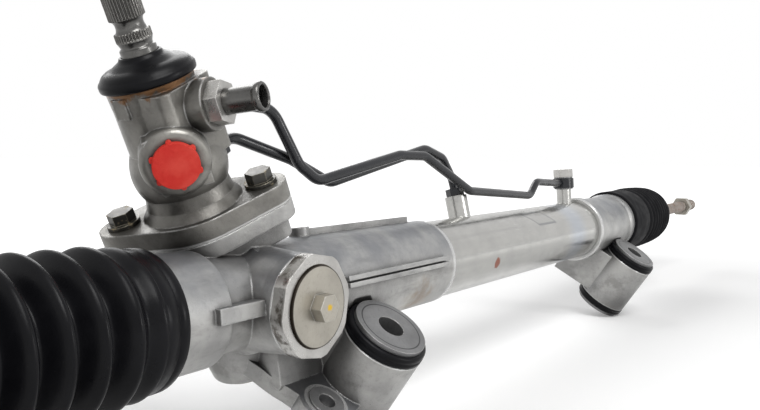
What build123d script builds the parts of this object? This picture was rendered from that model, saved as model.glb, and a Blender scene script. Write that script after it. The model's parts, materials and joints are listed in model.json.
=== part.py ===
# Hydraulic rack and pinion steering gear, built as its separate pieces, in millimetres.
# The origin is the centre of the near mount bush's bore. X runs along the rack bar from
# the near boot to the far boot, Z is up, and the guide plug faces -Y.
from build123d import *
from math import acos, cos, degrees, pi, radians, sin, sqrt, tan
import os

os.makedirs("parts", exist_ok=True)

# Clearances
running_gap = 0.05          # radial gap of a shaft or slider in its hole
free_gap = 0.35             # gap between pieces that pass each other

# Rack bar and gear teeth
bar_radius = 14.5
stroke = 60.0               # travel each way from the middle
stop_gap = 1.0              # what is left at the end stop at full travel
tooth_module = 1.9
tooth_count = 8             # teeth on the pinion
pressure_angle = radians(20)
profile_shift = 0.4
tooth_backlash = 0.15       # taken off each flank
root_clearance = 0.5
tooth_zone_margin = 16.0    # toothed length past the travel at each end

# Pinion, its lean and its stations along its own axis
skew = radians(24.6)        # lean of the pinion axis from square to the rack
pinion_offset = 18.0        # pinion axis behind the rack axis
pinion_tip_radius = 10.8
pinion_face_half = 13.5
pinion_neck_radius = 7.0
lower_journal_radius = 7.5
upper_journal_radius = 9.0
bearing_offset = 20.5       # inner face of each pinion bearing from the rack's level
bearing_width = 11.0
lower_bearing_radius = 16.0
upper_bearing_radius = 14.5
seal_width = 5.0
pinion_nut_height = 5.0
pinion_nut_flats = 20.0
pinion_thread_radius = 6.0
bottom_cap_radius = 17.0
bottom_cap_height = 4.5
bottom_cap_hex = 19.0
bottom_hex_height = 4.0
case_wall = 2.5             # wall of the pinion's case round the bottom cap
case_rim_height = 8.0
case_waist_wall = 7.0
torsion_bar_radius = 2.5
torsion_head_radius = 3.6
torsion_head_length = 10.0
pinion_head_radius = 13.0
pinion_head_height = 9.0
coupling_play = radians(7)  # twist that the tang has in the pinion's slot
tang_half_width = 3.5
tang_radius = 7.0
tang_depth = 6.0

# Valve
valve_bore_radius = 14.7
valve_sleeve_length = 44.0
valve_ring_width = 1.8
valve_ring_depth = 1.0
valve_ring_count = 4
spool_radius = 9.3
shaft_radius = 8.1
shaft_bearing_radius = 13.5
shaft_bearing_width = 7.0
serration_radius = 8.05
serration_depth = 0.75
serration_root_gap = 1.6    # from the teeth's tips to the plain necks
serration_end_chamfer = 1.5
shaft_chamfer = 0.6
pinch_groove_half = 1.2
serration_count = 36
pinch_groove_radius = 6.2
shaft_collar_top = 127.3
lower_serration = (129.7, 135.0)
upper_serration = (139.7, 163.0)

# Valve housing and its flange
flange_level = 40.0         # where the valve housing meets the rack housing
flange_thickness = 10.0
pad_thickness = 8.0
pad_foot_thickness = 10.0   # narrower foot under the pad
flange_core_radius = 27.0
flange_ear_radius = 12.0
pad_foot_inset = 4.5        # how much smaller the foot is all round
flange_bolt_reach = 33.0
flange_bolt_turn = 45.0     # degrees from the side towards the guide plug
bolt_thread_radius = 4.0
bolt_length = 28.0
bolt_head_flats = 11.0
bolt_head_height = 7.0
bolt_flange_radius = 7.8
bolt_flange_height = 2.0
spigot_radius = 21.0
spigot_depth = 4.0
seal_ring_section = 1.5
seal_ring_drop = 3.0        # from the flange down to the ring's lower side
seal_ring_width = 2.1
tower_radius = 19.3
tower_top = 112.0
tower_lip_radius = 17.0
tower_lip_height = 2.5
tower_flare = 4.7           # how much wider the tower is where it meets the flange
tower_flare_height = 13.0
tower_top_step = 0.5        # how much wider the tower is at its top
tower_top_taper = 10.0
belly_radius = 22.4         # round swelling of the tower behind the pressure port
belly_level = 70.5
block_bottom = 73.0         # raised block between the ports
block_top = 109.0
block_turns = (44.0, 122.0)
block_corner_radius = 5.0
block_corner_reach = 20.3
pad_set_back = 2.0          # pad round the pressure port, behind the port's face
pad_root = 5.0              # reach of the pad's inner end from the pinion axis
pad_outline = [(-13.5, -13), (3, -13), (10.5, -11.5), (14, 0), (12.5, 11), (-8, 13), (-13.5, 9)]
side_pad = (180.0, 105.5, 20.4)  # small cast pad: turn, level, reach
side_pad_size = (9.0, 8.0)
side_pad_depth = 4.0
dimple_radius = 1.4         # two round cast marks on the pad beside the pressure port
dimple_height = 0.8
dimple_points = [(8.5, -10.5), (3.5, -11.5)]
cap_rim_radius = 21.8
cap_rim_height = 3.5
cap_shoulder = [(-1.5, 6.0), (-4.5, 7.8)]  # from the rim radius, above the tower's top
cap_lip = [(5.0, 9.0), (1.8, 10.6), (0.8, 12.3), (0.0, 12.3), (0.0, 10.0)]  # from the neck radius
cap_inside = [(3.0, 7.0)]   # underside by the neck
cap_lip_seat = [(-1.0, 5.8), (0.0, 3.0)]  # underside, from the lip radius

# Ports on the valve housing: turn round the pinion axis, level, reach of the face
return_port = (72.0, 96.6, 27.0)
pressure_port = (132.0, 80.0, 28.5)
front_tube_port = (0.0, 83.0, 25.0)
rear_tube_port = (-14.0, 64.0, 27.0)
return_boss_radius = 12.0
pressure_boss_radius = 15.5
pressure_boss_round = 3.6   # rounding round the pressure port's face
tube_boss_radius = 8.6
port_passage_radius = 5.0
port_depth = 12.0
return_pipe_radius = 5.8
return_pipe_bore = 4.9
return_bead_radius = 6.8
return_pipe_length = 24.5
return_bead_length = 2.5
union_nut_flats = 18.0
union_nut_height = 6.5
cap_disc_radius = 10.2
cap_disc_height = 3.0
cap_tab_radius = 1.3
cap_tab_set_back = 1.0
cap_plug_radius = 4.9
cap_plug_depth = 9.0
cap_tab_count = 6

# Rack housing, steel tube and end housing, along the rack axis
near_end = -86.0
lip_station = -68.0
spigot_rim_radius = 26.7
casting_radius = 26.4
neck_start = -41.0          # narrower neck between the near spigot and the gear case
neck_end = -12.0
neck_radius = 22.6
neck_shoulder = 4.0
casting_end = 157.0
spigot_groove = 1.2         # depth of the seat for each boot's collar
spigot_chamfer = 2.0
ledge_start = -51.0         # ledge between the near spigot and the guide boss
ledge_end = -24.0
rail_start = 40.0           # long rails on the tubular part
rail_end_gap = 14.0
rail_height = 3.5
top_rail = (8.0, 5.0)       # turn from upright, width
side_rails = [(-77.0, 2.5), (-84.0, 2.5)]
ledge_rail = (-86.0, 7.0)
rail_boss_radius = 5.5
rail_boss_height = 8.0
bar_bore_radius = 15.3
tube_radius = 25.0
cylinder_radius = 22.0
tube_end = 424.0
tube_entry = 16.0           # how far the tube reaches into each casting
end_collar_radius = 28.5
end_collar_width = 12.0
end_collar_slope = 6.0
far_rim_width = 10.0
far_rim_slope = 2.0
far_rim_height = 1.5
far_spigot = 520.0
far_end = 556.0
inner_seal_length = 14.0
seal_holder_radius = 20.0
bushing_length = 20.0
outer_seal_length = 8.0
snap_ring_section = 1.2
snap_groove_depth = 0.8
snap_ring_inset = 1.5       # snap ring's bore to the bar
near_port = 220.0
far_port = 408.0
near_port_turn = 13.5       # degrees behind upright
far_port_turn = 4.0
near_port_boss_radius = 7.8
far_port_boss_radius = 6.4
near_port_height = 40.0
far_port_height = 37.5
port_bolt_radius = 4.9

# Piston
piston_station = 302.0
piston_width = 16.0
piston_ring_width = 4.0
piston_ring_depth = 2.0
piston_side_gap = 0.4       # piston to cylinder wall

# Rack guide, plug and lock nut, outwards from the rack axis
guide_radius = 16.2
guide_bottom = 5.0
guide_top = 27.0
liner_thickness = 0.8
liner_reach = radians(55)
plug_radius = 19.0
guide_lift = 0.3            # what the guide can lift before it meets the plug
plug_outer_face = 41.3
plug_hex_flats = 12.0
plug_hex_height = 6.0
guide_boss_radius = 24.0
guide_boss_face = 33.0
guide_boss_draft = 2.0
lock_nut_height = 7.0
lock_nut_radius = 25.5
lock_nut_corner = 0.9       # taken off its eight corners
lock_nut_turn = 12.0
spring_radius = 7.0
spring_wire = 2.4
spring_turns = 2.5
spring_end_gap = 0.15       # coil's ends to their seats
spring_pocket_radius = 10.0
spring_pocket_depth = 5.0

# Mounts
mount_tilt = radians(34)    # lean of the bush axes towards the guide plug
mount_reach = 46.5          # bush axis from the rack axis
near_mount = 56.5
near_mount_drop = 22.0      # bush centre below the rack axis, along the bush
far_mount = 480.5
far_mount_drop = 27.5
bush_half_length = 31.0
bolt_hole_radius = 7.25
sleeve_wall = 3.5
sleeve_disc_radius = 20.1
sleeve_disc_thickness = 2.5
rubber_radius = 18.5
rubber_rim_radius = 22.8
mount_boss_radius = 22.6
mount_boss_half = 22.3
lug_station = 21.5
lug_reach = 53.0
lug_drop = 27.0
lug_plate_thickness = 9.0
lug_plate_edge = [(-16, 0), (-2.5, -9), (-0.5, -15.5), (2, -22.5), (3.5, -28), (5.5, -34), (8, -39),
                  (10, -45)]
lug_radius = 15.0
lug_insert_radius = 9.5
lug_insert_length = 12.0
lug_thread_radius = 4.5
lug_insert_proud = 1.0      # how far the lug's insert stands above the plate
arm_half_width = 17.0       # arms that carry the mount bosses
arm_setback = 3.0
near_arm_spread = (8.0, 18.0, 2.0)  # wider at the rack by this on each side, and on the far side at the boss
far_arm_spread = (14.0, 6.0)
lug_plate_inset = 10.0      # how far the plate reaches under the near mount boss
lug_plate_overlap = 15.0
web_start = 4.0             # web between the tubular part and the lug plate
web_end = 42.5
web_outline = [(-8, -20), (22, -12), (36, -27), (36, -30), (-8, -36)]

# Ball joints, tie rods and boots
socket_nose = 34.0          # ball centre to the end face of the rack bar
socket_mouth = 10.5         # ball centre to the socket's open end
socket_radius = 19.0
socket_cavity_radius = 14.5
ball_radius = 12.0
swing_limit = radians(20)
mouth_half_angle = swing_limit + radians(35.5)  # room for the rod's neck at full swing
socket_thread_radius = 9.0
socket_thread_length = 14.0
lock_washer_thickness = 2.0
rod_radius = 6.5
rod_neck_radius = 6.0
rod_length = 208.0
rod_thread_radius = 7.0
engaged_thread_radius = 6.5  # thread under the jam nut, drawn at its pitch line
rod_thread_length = 60.0
jam_nut_setback = 50.0      # rod's end to the jam nut's inner face
jam_nut_flats = 21.0
jam_nut_height = 11.0
boot_wall = 1.6
boot_neck_reach = 62.0      # ball centre to the end of the boot's neck
boot_neck_length = 10.0
boot_neck_radius = 10.0
boot_collar_radius = 30.6
near_collar_length = 11.0
far_collar_length = 47.0
near_fold_pitch = 14.3
near_crest_radius = 34.0
near_valley_radius = 28.0
far_fold_pitch = 9.0
far_crest_radius = 32.0
far_valley_radius = 26.6
neck_crest_radius = 15.0
boot_taper_length = 64.0
clip_wire_radius = 1.2
end_chamfer = 1.0           # chamfer at the ends of rods and sockets

# Transfer tubes, as points on their route from the rack axis at the pinion
tube_outer_radius = 3.0
tube_bore_radius = 2.0
tube_bend_radius = 13.0
tube_seat_depth = 4.0       # how far the tubes reach into the valve housing
near_seat_depth = 5.0       # and into the near port
front_first_run = 24.0
rear_first_run = 26.0
rear_last_run = 18.0
tube_nut_flats = 11.0
tube_nut_length = 9.0
short_nut_length = 5.4      # nut on the near port
banjo_radius = 9.0
banjo_height = 8.6
banjo_washer_thickness = 1.0
banjo_bolt_flats = 14.7
banjo_bolt_head = 7.0
front_route = [(34.7, 18, 92.4), (50.5, 12.5, 63), (65, 11, 54), (141, 6, 68.2), (168, 4, 67.6),
               (220, -2, 43.1), (323.5, -2, 35.4), (338, -1, 46)]
rear_route = [(52, 20, 66), (85, 18, 52.3), (181.5, 12, 72.1), (203, 11, 66)]

# Directions and origins of the five axes
bolt_way = Vector(0, -sin(mount_tilt), cos(mount_tilt))
reach_way = Vector(0, -cos(mount_tilt), -sin(mount_tilt))
rack_way = Vector(1, 0, 0)
guide_way = Vector(0, -1, 0)
pinion_way = Vector(-sin(skew), 0, cos(skew))
side_way = Vector(cos(skew), 0, sin(skew))
rack_origin = rack_way * -near_mount - reach_way * mount_reach + bolt_way * near_mount_drop
pinion_origin = rack_origin + Vector(0, pinion_offset, 0)
rack_axis = Axis(rack_origin, rack_way)
pinion_axis = Axis(pinion_origin, pinion_way)
guide_axis = Axis(rack_origin, guide_way)

# Sizes that follow from the ones above
pitch_radius = tooth_count * tooth_module / 2 / cos(skew)
rack_datum = pinion_offset - pitch_radius - profile_shift * tooth_module
rack_tip = rack_datum + tooth_module
rack_root = pinion_offset - pinion_tip_radius - root_clearance
tooth_pitch = pi * tooth_module
lower_bearing_end = -bearing_offset - bearing_width
pinion_nut_end = lower_bearing_end - pinion_nut_height
bottom_cap_level = pinion_nut_end - 2
case_bottom = bottom_cap_level - bottom_cap_height
case_rim_level = case_bottom + 2
upper_bearing_end = bearing_offset + bearing_width
seal_end = upper_bearing_end + seal_width
pinion_head_level = flange_level + 1
pinion_head_end = pinion_head_level + pinion_head_height
sleeve_end = pinion_head_end + valve_sleeve_length
shaft_bearing_level = sleeve_end + 1.5
shaft_neck_radius = serration_radius - serration_root_gap
cap_neck_radius = shaft_radius + free_gap
oil_seal_level = shaft_bearing_level + shaft_bearing_width
cylinder_start = casting_end - tube_entry
bushing_start = tube_end + tube_entry
outer_seal_start = bushing_start + bushing_length
bushing_ring_start = outer_seal_start + outer_seal_length
near_ball = near_end - stop_gap - stroke - socket_nose
far_ball = far_end + stop_gap + stroke + socket_nose
near_bar_end = near_ball + socket_nose
far_bar_end = far_ball - socket_nose
guide_liner_radius = bar_radius + running_gap
plug_inner_face = guide_top + guide_lift
pad_foot_level = flange_level - pad_thickness - pad_foot_thickness
saddle_radius = guide_liner_radius + liner_thickness


def across_rack(x):
    """Plane square to the rack bar: sketch x is to the back, sketch y is up."""
    return Plane(origin=rack_origin + rack_way * x, x_dir=(0, 1, 0), z_dir=rack_way)


def across_pinion(level):
    """Plane square to the pinion: sketch x is to the side, sketch y is to the back."""
    return Plane(origin=pinion_origin + pinion_way * level, x_dir=side_way, z_dir=pinion_way)


def across_guide(depth):
    """Plane square to the rack guide: sketch x is along the rack, sketch y is up."""
    return Plane(origin=rack_origin + guide_way * depth, x_dir=rack_way, z_dir=guide_way)


def across_mount(x, level, reach):
    """Plane square to a mount: sketch x is along the rack, sketch y is towards it."""
    origin = rack_origin + rack_way * x + reach_way * reach + bolt_way * level
    return Plane(origin=origin, x_dir=rack_way, z_dir=bolt_way)


def across_valve_port(port, extra=0.0):
    """Plane of a port's face on the valve housing, looking outwards."""
    turn, level, reach = port
    way = side_way * cos(radians(turn)) + guide_way * sin(radians(turn))
    origin = pinion_origin + pinion_way * level + way * (reach + extra)
    return Plane(origin=origin, x_dir=pinion_way, z_dir=way)


def across_cylinder_port(x, turn, height):
    """Plane square to a port on the steel tube, at a height from the rack axis."""
    way = Vector(0, sin(radians(turn)), cos(radians(turn)))
    return Plane(origin=rack_origin + rack_way * x + way * height, x_dir=rack_way, z_dir=way)


rack_side = Plane(origin=rack_origin, x_dir=rack_way, z_dir=(0, -1, 0))
pinion_side = Plane(origin=pinion_origin, x_dir=side_way, z_dir=(0, -1, 0))
guide_side = Plane(origin=rack_origin, x_dir=rack_way, z_dir=(0, 0, -1))


def turned(plane, axis, points, mode=Mode.ADD):
    """Turn a closed outline about an axis, inside the part being built."""
    with BuildSketch(plane) as outline:
        with BuildLine():
            Polyline(*points, close=True)
        make_face()
    revolve(outline.sketch, axis=axis, mode=mode)


def rack_turned(points, mode=Mode.ADD):
    """Turn an outline of (station, radius) points about the rack axis."""
    turned(rack_side, rack_axis, points, mode)


def rack_ring(start, end, inner, outer, mode=Mode.ADD):
    """A plain ring on the rack axis."""
    rack_turned([(start, inner), (end, inner), (end, outer), (start, outer)], mode)


def pinion_turned(points, mode=Mode.ADD):
    """Turn an outline of (radius, level) points about the pinion axis."""
    turned(pinion_side, pinion_axis, points, mode)


def pinion_ring(start, end, inner, outer, mode=Mode.ADD):
    """A plain ring on the pinion axis."""
    pinion_turned([(inner, start), (outer, start), (outer, end), (inner, end)], mode)


def guide_turned(points, mode=Mode.ADD):
    """Turn an outline of (radius, depth) points about the rack guide's axis."""
    turned(guide_side, guide_axis, points, mode)


def guide_ring(start, end, inner, outer, mode=Mode.ADD):
    """A plain ring on the rack guide's axis."""
    guide_turned([(inner, start), (outer, start), (outer, end), (inner, end)], mode)


def rod(plane, radius, length, mode=Mode.ADD):
    """A round rod standing on a plane."""
    with BuildSketch(plane) as section:
        Circle(radius)
    extrude(section.sketch, amount=length, mode=mode)


def pipe(plane, outer, inner, length):
    """A round pipe standing on a plane."""
    with BuildSketch(plane) as section:
        Circle(outer)
        Circle(inner, mode=Mode.SUBTRACT)
    extrude(section.sketch, amount=length)


def hexagon(plane, flats, length, bore=0.0):
    """A hexagon prism standing on a plane, with a bore if it has one."""
    with BuildSketch(plane) as section:
        RegularPolygon(flats / 2, 6, major_radius=False)
        if bore:
            Circle(bore, mode=Mode.SUBTRACT)
    extrude(section.sketch, amount=length)


def flange_outline(plane, inset=0.0):
    """The two-eared outline that the valve housing and its pad share."""
    with BuildSketch(plane) as outline:
        Circle(flange_core_radius - inset)
        with PolarLocations(flange_bolt_reach, 2, start_angle=-flange_bolt_turn):
            Circle(flange_ear_radius - inset)
        make_hull()
    return outline.sketch


def flange_holes(plane, radius):
    """The flange's two bolt holes, as a sketch."""
    with BuildSketch(plane) as holes:
        with PolarLocations(flange_bolt_reach, 2, start_angle=-flange_bolt_turn):
            Circle(radius)
    return holes.sketch


def mount_ring(x, drop, start, end, inner, outer, mode=Mode.ADD):
    """A ring on a mount bush's axis, measured from the bush's centre."""
    with BuildSketch(across_mount(x, start - drop, mount_reach)) as section:
        Circle(outer)
        if inner:
            Circle(inner, mode=Mode.SUBTRACT)
    extrude(section.sketch, amount=end - start, mode=mode)


# Rack housing: spigot, gear case, guide boss, flange pad, mount boss, lug and ribs
with BuildPart() as rack_housing:
    rack_turned([(near_end, 0), (near_end, spigot_rim_radius - spigot_chamfer),
                 (near_end + spigot_chamfer, spigot_rim_radius - spigot_groove),
                 (lip_station, spigot_rim_radius - spigot_groove), (lip_station, spigot_rim_radius),
                 (neck_start, spigot_rim_radius), (neck_start + neck_shoulder, neck_radius),
                 (neck_end, neck_radius),
                 (neck_end + neck_shoulder, casting_radius), (casting_end, casting_radius), (casting_end, 0)])
    # Case round the pinion, and the pad under the valve housing
    pinion_turned([(0, case_rim_level), (bottom_cap_radius + case_wall, case_rim_level),
                   (bottom_cap_radius + case_wall + 1, case_rim_level + case_rim_height),
                   (upper_bearing_radius + case_waist_wall, 0),
                   (flange_core_radius - pad_foot_inset, pad_foot_level), (0, pad_foot_level)])
    extrude(flange_outline(across_pinion(flange_level - pad_thickness)), amount=pad_thickness)
    extrude(flange_outline(across_pinion(pad_foot_level), pad_foot_inset), amount=pad_foot_thickness)
    # Boss for the rack guide
    guide_turned([(0, 0), (guide_boss_radius + guide_boss_draft, 0),
                  (guide_boss_radius, guide_boss_face - lock_nut_height),
                  (guide_boss_radius, guide_boss_face), (0, guide_boss_face)])
    # Boss and arm of the near mount
    mount_ring(near_mount, near_mount_drop, -mount_boss_half, mount_boss_half, 0, mount_boss_radius)
    with BuildSketch(across_mount(near_mount, -near_mount_drop - mount_boss_half + arm_setback, 0)) as arm:
        with BuildLine():
            Polyline((-arm_half_width - near_arm_spread[0], 0), (-arm_half_width, -mount_reach),
                     (arm_half_width + near_arm_spread[2], -mount_reach),
                     (arm_half_width + near_arm_spread[1], 0), close=True)
        make_face()
    extrude(arm.sketch, amount=2 * (mount_boss_half - arm_setback))
    # Lug plate from the spigot to the mount boss
    lug_base = across_mount(0, -lug_drop - lug_plate_thickness, 0)
    with BuildSketch(lug_base) as lug_plate:
        with BuildLine():
            Polyline(*lug_plate_edge, (lug_station, -lug_reach - lug_radius),
                     (near_mount, -mount_reach - lug_plate_inset),
                     (near_mount + lug_plate_overlap, 0), close=True)
        make_face()
        with Locations((lug_station, -lug_reach)):
            Circle(lug_radius)
    extrude(lug_plate.sketch, amount=lug_plate_thickness)
    # Web from the tubular part down to the lug plate
    web_side = Plane(origin=rack_origin + rack_way * web_start, x_dir=reach_way, z_dir=rack_way)
    with BuildSketch(web_side) as web:
        with BuildLine():
            Polyline(*[(reach, -level) for reach, level in web_outline], close=True)
        make_face()
    extrude(web.sketch, amount=web_end - web_start)
    # Long rails on the tubular part, and the ledge beside the guide boss
    rod(across_cylinder_port(rail_start, top_rail[0], casting_radius - rail_height), rail_boss_radius,
        rail_boss_height)
    rails = [(*rail, rail_start, casting_end - rail_end_gap) for rail in (top_rail, *side_rails)]
    for turn, width, start, end in rails + [(*ledge_rail, ledge_start, ledge_end)]:
        rail_way = Vector(0, sin(radians(turn)), cos(radians(turn)))
        rail_foot = Plane(origin=rack_origin + rack_way * start, x_dir=rail_way, z_dir=rack_way)
        with BuildSketch(rail_foot) as rail_section:
            with Locations((casting_radius, 0)):
                Rectangle(rail_height * 2, width)
        extrude(rail_section.sketch, amount=end - start)
    # Bores along the rack
    rack_ring(near_end - 1, casting_end + 1, 0, bar_bore_radius, Mode.SUBTRACT)
    rack_ring(cylinder_start, casting_end + 1, 0, tube_radius, Mode.SUBTRACT)
    rack_ring(cylinder_start - inner_seal_length, cylinder_start + 1, 0, seal_holder_radius, Mode.SUBTRACT)
    # Bores of the guide
    guide_ring(0, guide_boss_face + 1, 0, guide_radius + running_gap, Mode.SUBTRACT)
    guide_ring(plug_inner_face, guide_boss_face + 1, 0, plug_radius, Mode.SUBTRACT)
    # Bores of the pinion
    pinion_ring(-bearing_offset - 1, bearing_offset + 1, 0, pinion_tip_radius + 1, Mode.SUBTRACT)
    pinion_ring(lower_bearing_end, -bearing_offset, 0, lower_bearing_radius, Mode.SUBTRACT)
    pinion_ring(bottom_cap_level, lower_bearing_end + 1, 0, lower_bearing_radius - 2, Mode.SUBTRACT)
    pinion_ring(case_bottom - 1, bottom_cap_level, 0, bottom_cap_radius, Mode.SUBTRACT)
    pinion_ring(bearing_offset, seal_end, 0, upper_bearing_radius, Mode.SUBTRACT)
    pinion_ring(seal_end - 1, flange_level + 1, 0, upper_bearing_radius - 1, Mode.SUBTRACT)
    pinion_ring(flange_level - spigot_depth, flange_level + 1, 0, spigot_radius, Mode.SUBTRACT)
    extrude(flange_holes(across_pinion(flange_level + 1), bolt_thread_radius),
            amount=-(bolt_length - flange_thickness) - 1,
            mode=Mode.SUBTRACT)
    # Bores of the mount and the lug
    mount_ring(near_mount, near_mount_drop, -mount_boss_half - 1, mount_boss_half + 1, 0, rubber_radius,
               Mode.SUBTRACT)
    mount_ring(near_mount, near_mount_drop, mount_boss_half, bush_half_length + 1, 0,
               rubber_rim_radius + free_gap,
               Mode.SUBTRACT)
    rod(across_mount(lug_station, -lug_drop - lug_plate_thickness - 1, lug_reach), lug_insert_radius,
        lug_plate_thickness + 2, Mode.SUBTRACT)
rack_housing.part.label = "rack_housing"
export_step(rack_housing.part, "parts/rack_housing.step")

# Steel tube with its two brazed port bosses
with BuildPart() as cylinder_tube:
    rack_ring(cylinder_start, bushing_start, cylinder_radius, tube_radius)
    rod(across_cylinder_port(near_port, near_port_turn, cylinder_radius + 1), near_port_boss_radius,
        near_port_height - cylinder_radius - 1)
    rod(across_cylinder_port(far_port, far_port_turn, cylinder_radius + 1), far_port_boss_radius,
        far_port_height - cylinder_radius - 1)
    rod(across_cylinder_port(near_port, near_port_turn, cylinder_radius - 2), tube_outer_radius,
        near_port_height, Mode.SUBTRACT)
    rod(across_cylinder_port(far_port, far_port_turn, cylinder_radius - 2), port_bolt_radius,
        far_port_height, Mode.SUBTRACT)
cylinder_tube.part.label = "cylinder_tube"
export_step(cylinder_tube.part, "parts/cylinder_tube.step")

# End housing with the far spigot and the far mount
with BuildPart() as end_housing:
    rim_start = far_spigot - far_rim_width
    rack_turned([(tube_end, bar_bore_radius), (tube_end, end_collar_radius - end_chamfer),
                 (tube_end + end_chamfer, end_collar_radius),
                 (tube_end + end_collar_width, end_collar_radius),
                 (tube_end + end_collar_width + end_collar_slope, casting_radius),
                 (rim_start, casting_radius),
                 (rim_start + far_rim_slope, spigot_rim_radius + far_rim_height),
                 (far_spigot, spigot_rim_radius + far_rim_height), (far_spigot, spigot_rim_radius),
                 (far_end - spigot_chamfer, spigot_rim_radius), (far_end, spigot_rim_radius - spigot_chamfer),
                 (far_end, bar_bore_radius)])
    mount_ring(far_mount, far_mount_drop, -mount_boss_half, mount_boss_half, 0, mount_boss_radius)
    with BuildSketch(across_mount(far_mount, -far_mount_drop - mount_boss_half + arm_setback, 0)) as far_arm:
        with BuildLine():
            Polyline((-arm_half_width - far_arm_spread[0], 0), (-arm_half_width, -mount_reach),
                     (arm_half_width, -mount_reach), (arm_half_width + far_arm_spread[1], 0), close=True)
        make_face()
    extrude(far_arm.sketch, amount=2 * (mount_boss_half - arm_setback))
    rack_ring(tube_end - 1, far_end + 1, 0, bar_bore_radius, Mode.SUBTRACT)
    rack_ring(tube_end - 1, bushing_start, 0, tube_radius, Mode.SUBTRACT)
    rack_ring(bushing_start - 1, bushing_ring_start + snap_ring_section, 0, seal_holder_radius, Mode.SUBTRACT)
    rack_ring(bushing_ring_start, bushing_ring_start + snap_ring_section, 0,
              seal_holder_radius + snap_groove_depth,
              Mode.SUBTRACT)
    mount_ring(far_mount, far_mount_drop, -mount_boss_half - 1, mount_boss_half + 1, 0, rubber_radius,
               Mode.SUBTRACT)
    mount_ring(far_mount, far_mount_drop, mount_boss_half, bush_half_length + 1, 0,
               rubber_rim_radius + free_gap,
               Mode.SUBTRACT)
end_housing.part.label = "end_housing"
export_step(end_housing.part, "parts/end_housing.step")

# Boss of the pressure port, with its rounded rim
with BuildPart() as pressure_boss:
    rod(across_valve_port(pressure_port), pressure_boss_radius, -pressure_port[2] + 2)
    boss_rims = pressure_boss.edges().filter_by(GeomType.CIRCLE)
    fillet(boss_rims.sort_by_distance(across_valve_port(pressure_port).origin)[0], pressure_boss_round)

# Valve housing: flange, tower and port bosses
with BuildPart() as valve_housing:
    extrude(flange_outline(across_pinion(flange_level)), amount=flange_thickness)
    pinion_turned([(0, flange_level - spigot_depth),
                   (spigot_radius - running_gap, flange_level - spigot_depth),
                   (spigot_radius - running_gap, flange_level),
                   (tower_radius + tower_flare, flange_level + flange_thickness),
                   (tower_radius + tower_flare / 3, flange_level + flange_thickness + tower_flare_height / 3),
                   (tower_radius, flange_level + flange_thickness + tower_flare_height),
                   (tower_radius, tower_top - tower_top_taper), (tower_radius + tower_top_step, tower_top),
                   (tower_lip_radius, tower_top), (tower_lip_radius, tower_top + tower_lip_height),
                   (0, tower_top + tower_lip_height)])
    with Locations(across_pinion(belly_level)):
        Sphere(belly_radius)
    add(pressure_boss.part)
    for port, radius in ((return_port, return_boss_radius), (front_tube_port, tube_boss_radius),
                         (rear_tube_port, tube_boss_radius)):
        rod(across_valve_port(port), radius, -port[2] + 2)
    # Raised block between the ports, the pad round the pressure port and the small cast marks
    with BuildSketch(across_pinion(block_bottom)) as block:
        Circle(tower_radius - 1)
        for turn in block_turns:
            with PolarLocations(block_corner_reach, 1, start_angle=-turn):
                Circle(block_corner_radius)
        make_hull()
    extrude(block.sketch, amount=block_top - block_bottom)
    with BuildSketch(across_valve_port(pressure_port, -pad_set_back)) as pad:
        with BuildLine():
            Polyline(*pad_outline, close=True)
        make_face()
    extrude(pad.sketch, amount=-pressure_port[2] + pad_set_back + pad_root)
    with BuildSketch(across_valve_port(pressure_port, -pad_set_back)) as dimples:
        with Locations(*dimple_points):
            Circle(dimple_radius)
    extrude(dimples.sketch, amount=dimple_height)
    with BuildSketch(across_valve_port(side_pad)) as cast_pad:
        Rectangle(*side_pad_size)
    extrude(cast_pad.sketch, amount=-side_pad_depth)
    # Bore for the valve, the shaft bearing and the oil seal
    pinion_ring(flange_level - spigot_depth - 1, shaft_bearing_level, 0, valve_bore_radius, Mode.SUBTRACT)
    pinion_ring(shaft_bearing_level - 1, tower_top + tower_lip_height + 1, 0, shaft_bearing_radius,
                Mode.SUBTRACT)
    for port in (return_port, pressure_port):
        rod(across_valve_port(port, 1), port_passage_radius, -port_depth - 1, Mode.SUBTRACT)
    for port in (front_tube_port, rear_tube_port):
        rod(across_valve_port(port, 1), tube_outer_radius, -port_depth - 1, Mode.SUBTRACT)
    extrude(flange_holes(across_pinion(flange_level - 1), bolt_thread_radius + 0.5),
            amount=flange_thickness + 2,
            mode=Mode.SUBTRACT)
    # Groove for the seal ring under the flange
    pinion_ring(flange_level - seal_ring_drop, flange_level - seal_ring_drop + seal_ring_width,
                spigot_radius - seal_ring_section, spigot_radius + 1, Mode.SUBTRACT)
valve_housing.part.label = "valve_housing"
export_step(valve_housing.part, "parts/valve_housing.step")

with BuildPart() as flange_seal_ring:
    pinion_ring(flange_level - seal_ring_drop, flange_level - seal_ring_drop + seal_ring_width,
                spigot_radius - seal_ring_section, spigot_radius)
flange_seal_ring.part.label = "flange_seal_ring"
export_step(flange_seal_ring.part, "parts/flange_seal_ring.step")

# The two flange bolts
with BuildPart() as flange_bolts:
    bolt_seat = across_pinion(flange_level + flange_thickness)
    extrude(flange_holes(bolt_seat, bolt_thread_radius), amount=-bolt_length)
    extrude(flange_holes(bolt_seat, bolt_flange_radius), amount=bolt_flange_height)
    with BuildSketch(bolt_seat) as bolt_heads:
        with PolarLocations(flange_bolt_reach, 2, start_angle=-flange_bolt_turn):
            RegularPolygon(bolt_head_flats / 2, 6, major_radius=False)
    extrude(bolt_heads.sketch, amount=bolt_head_height)
flange_bolts.part.label = "flange_bolts"
export_step(flange_bolts.part, "parts/flange_bolts.step")

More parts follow.
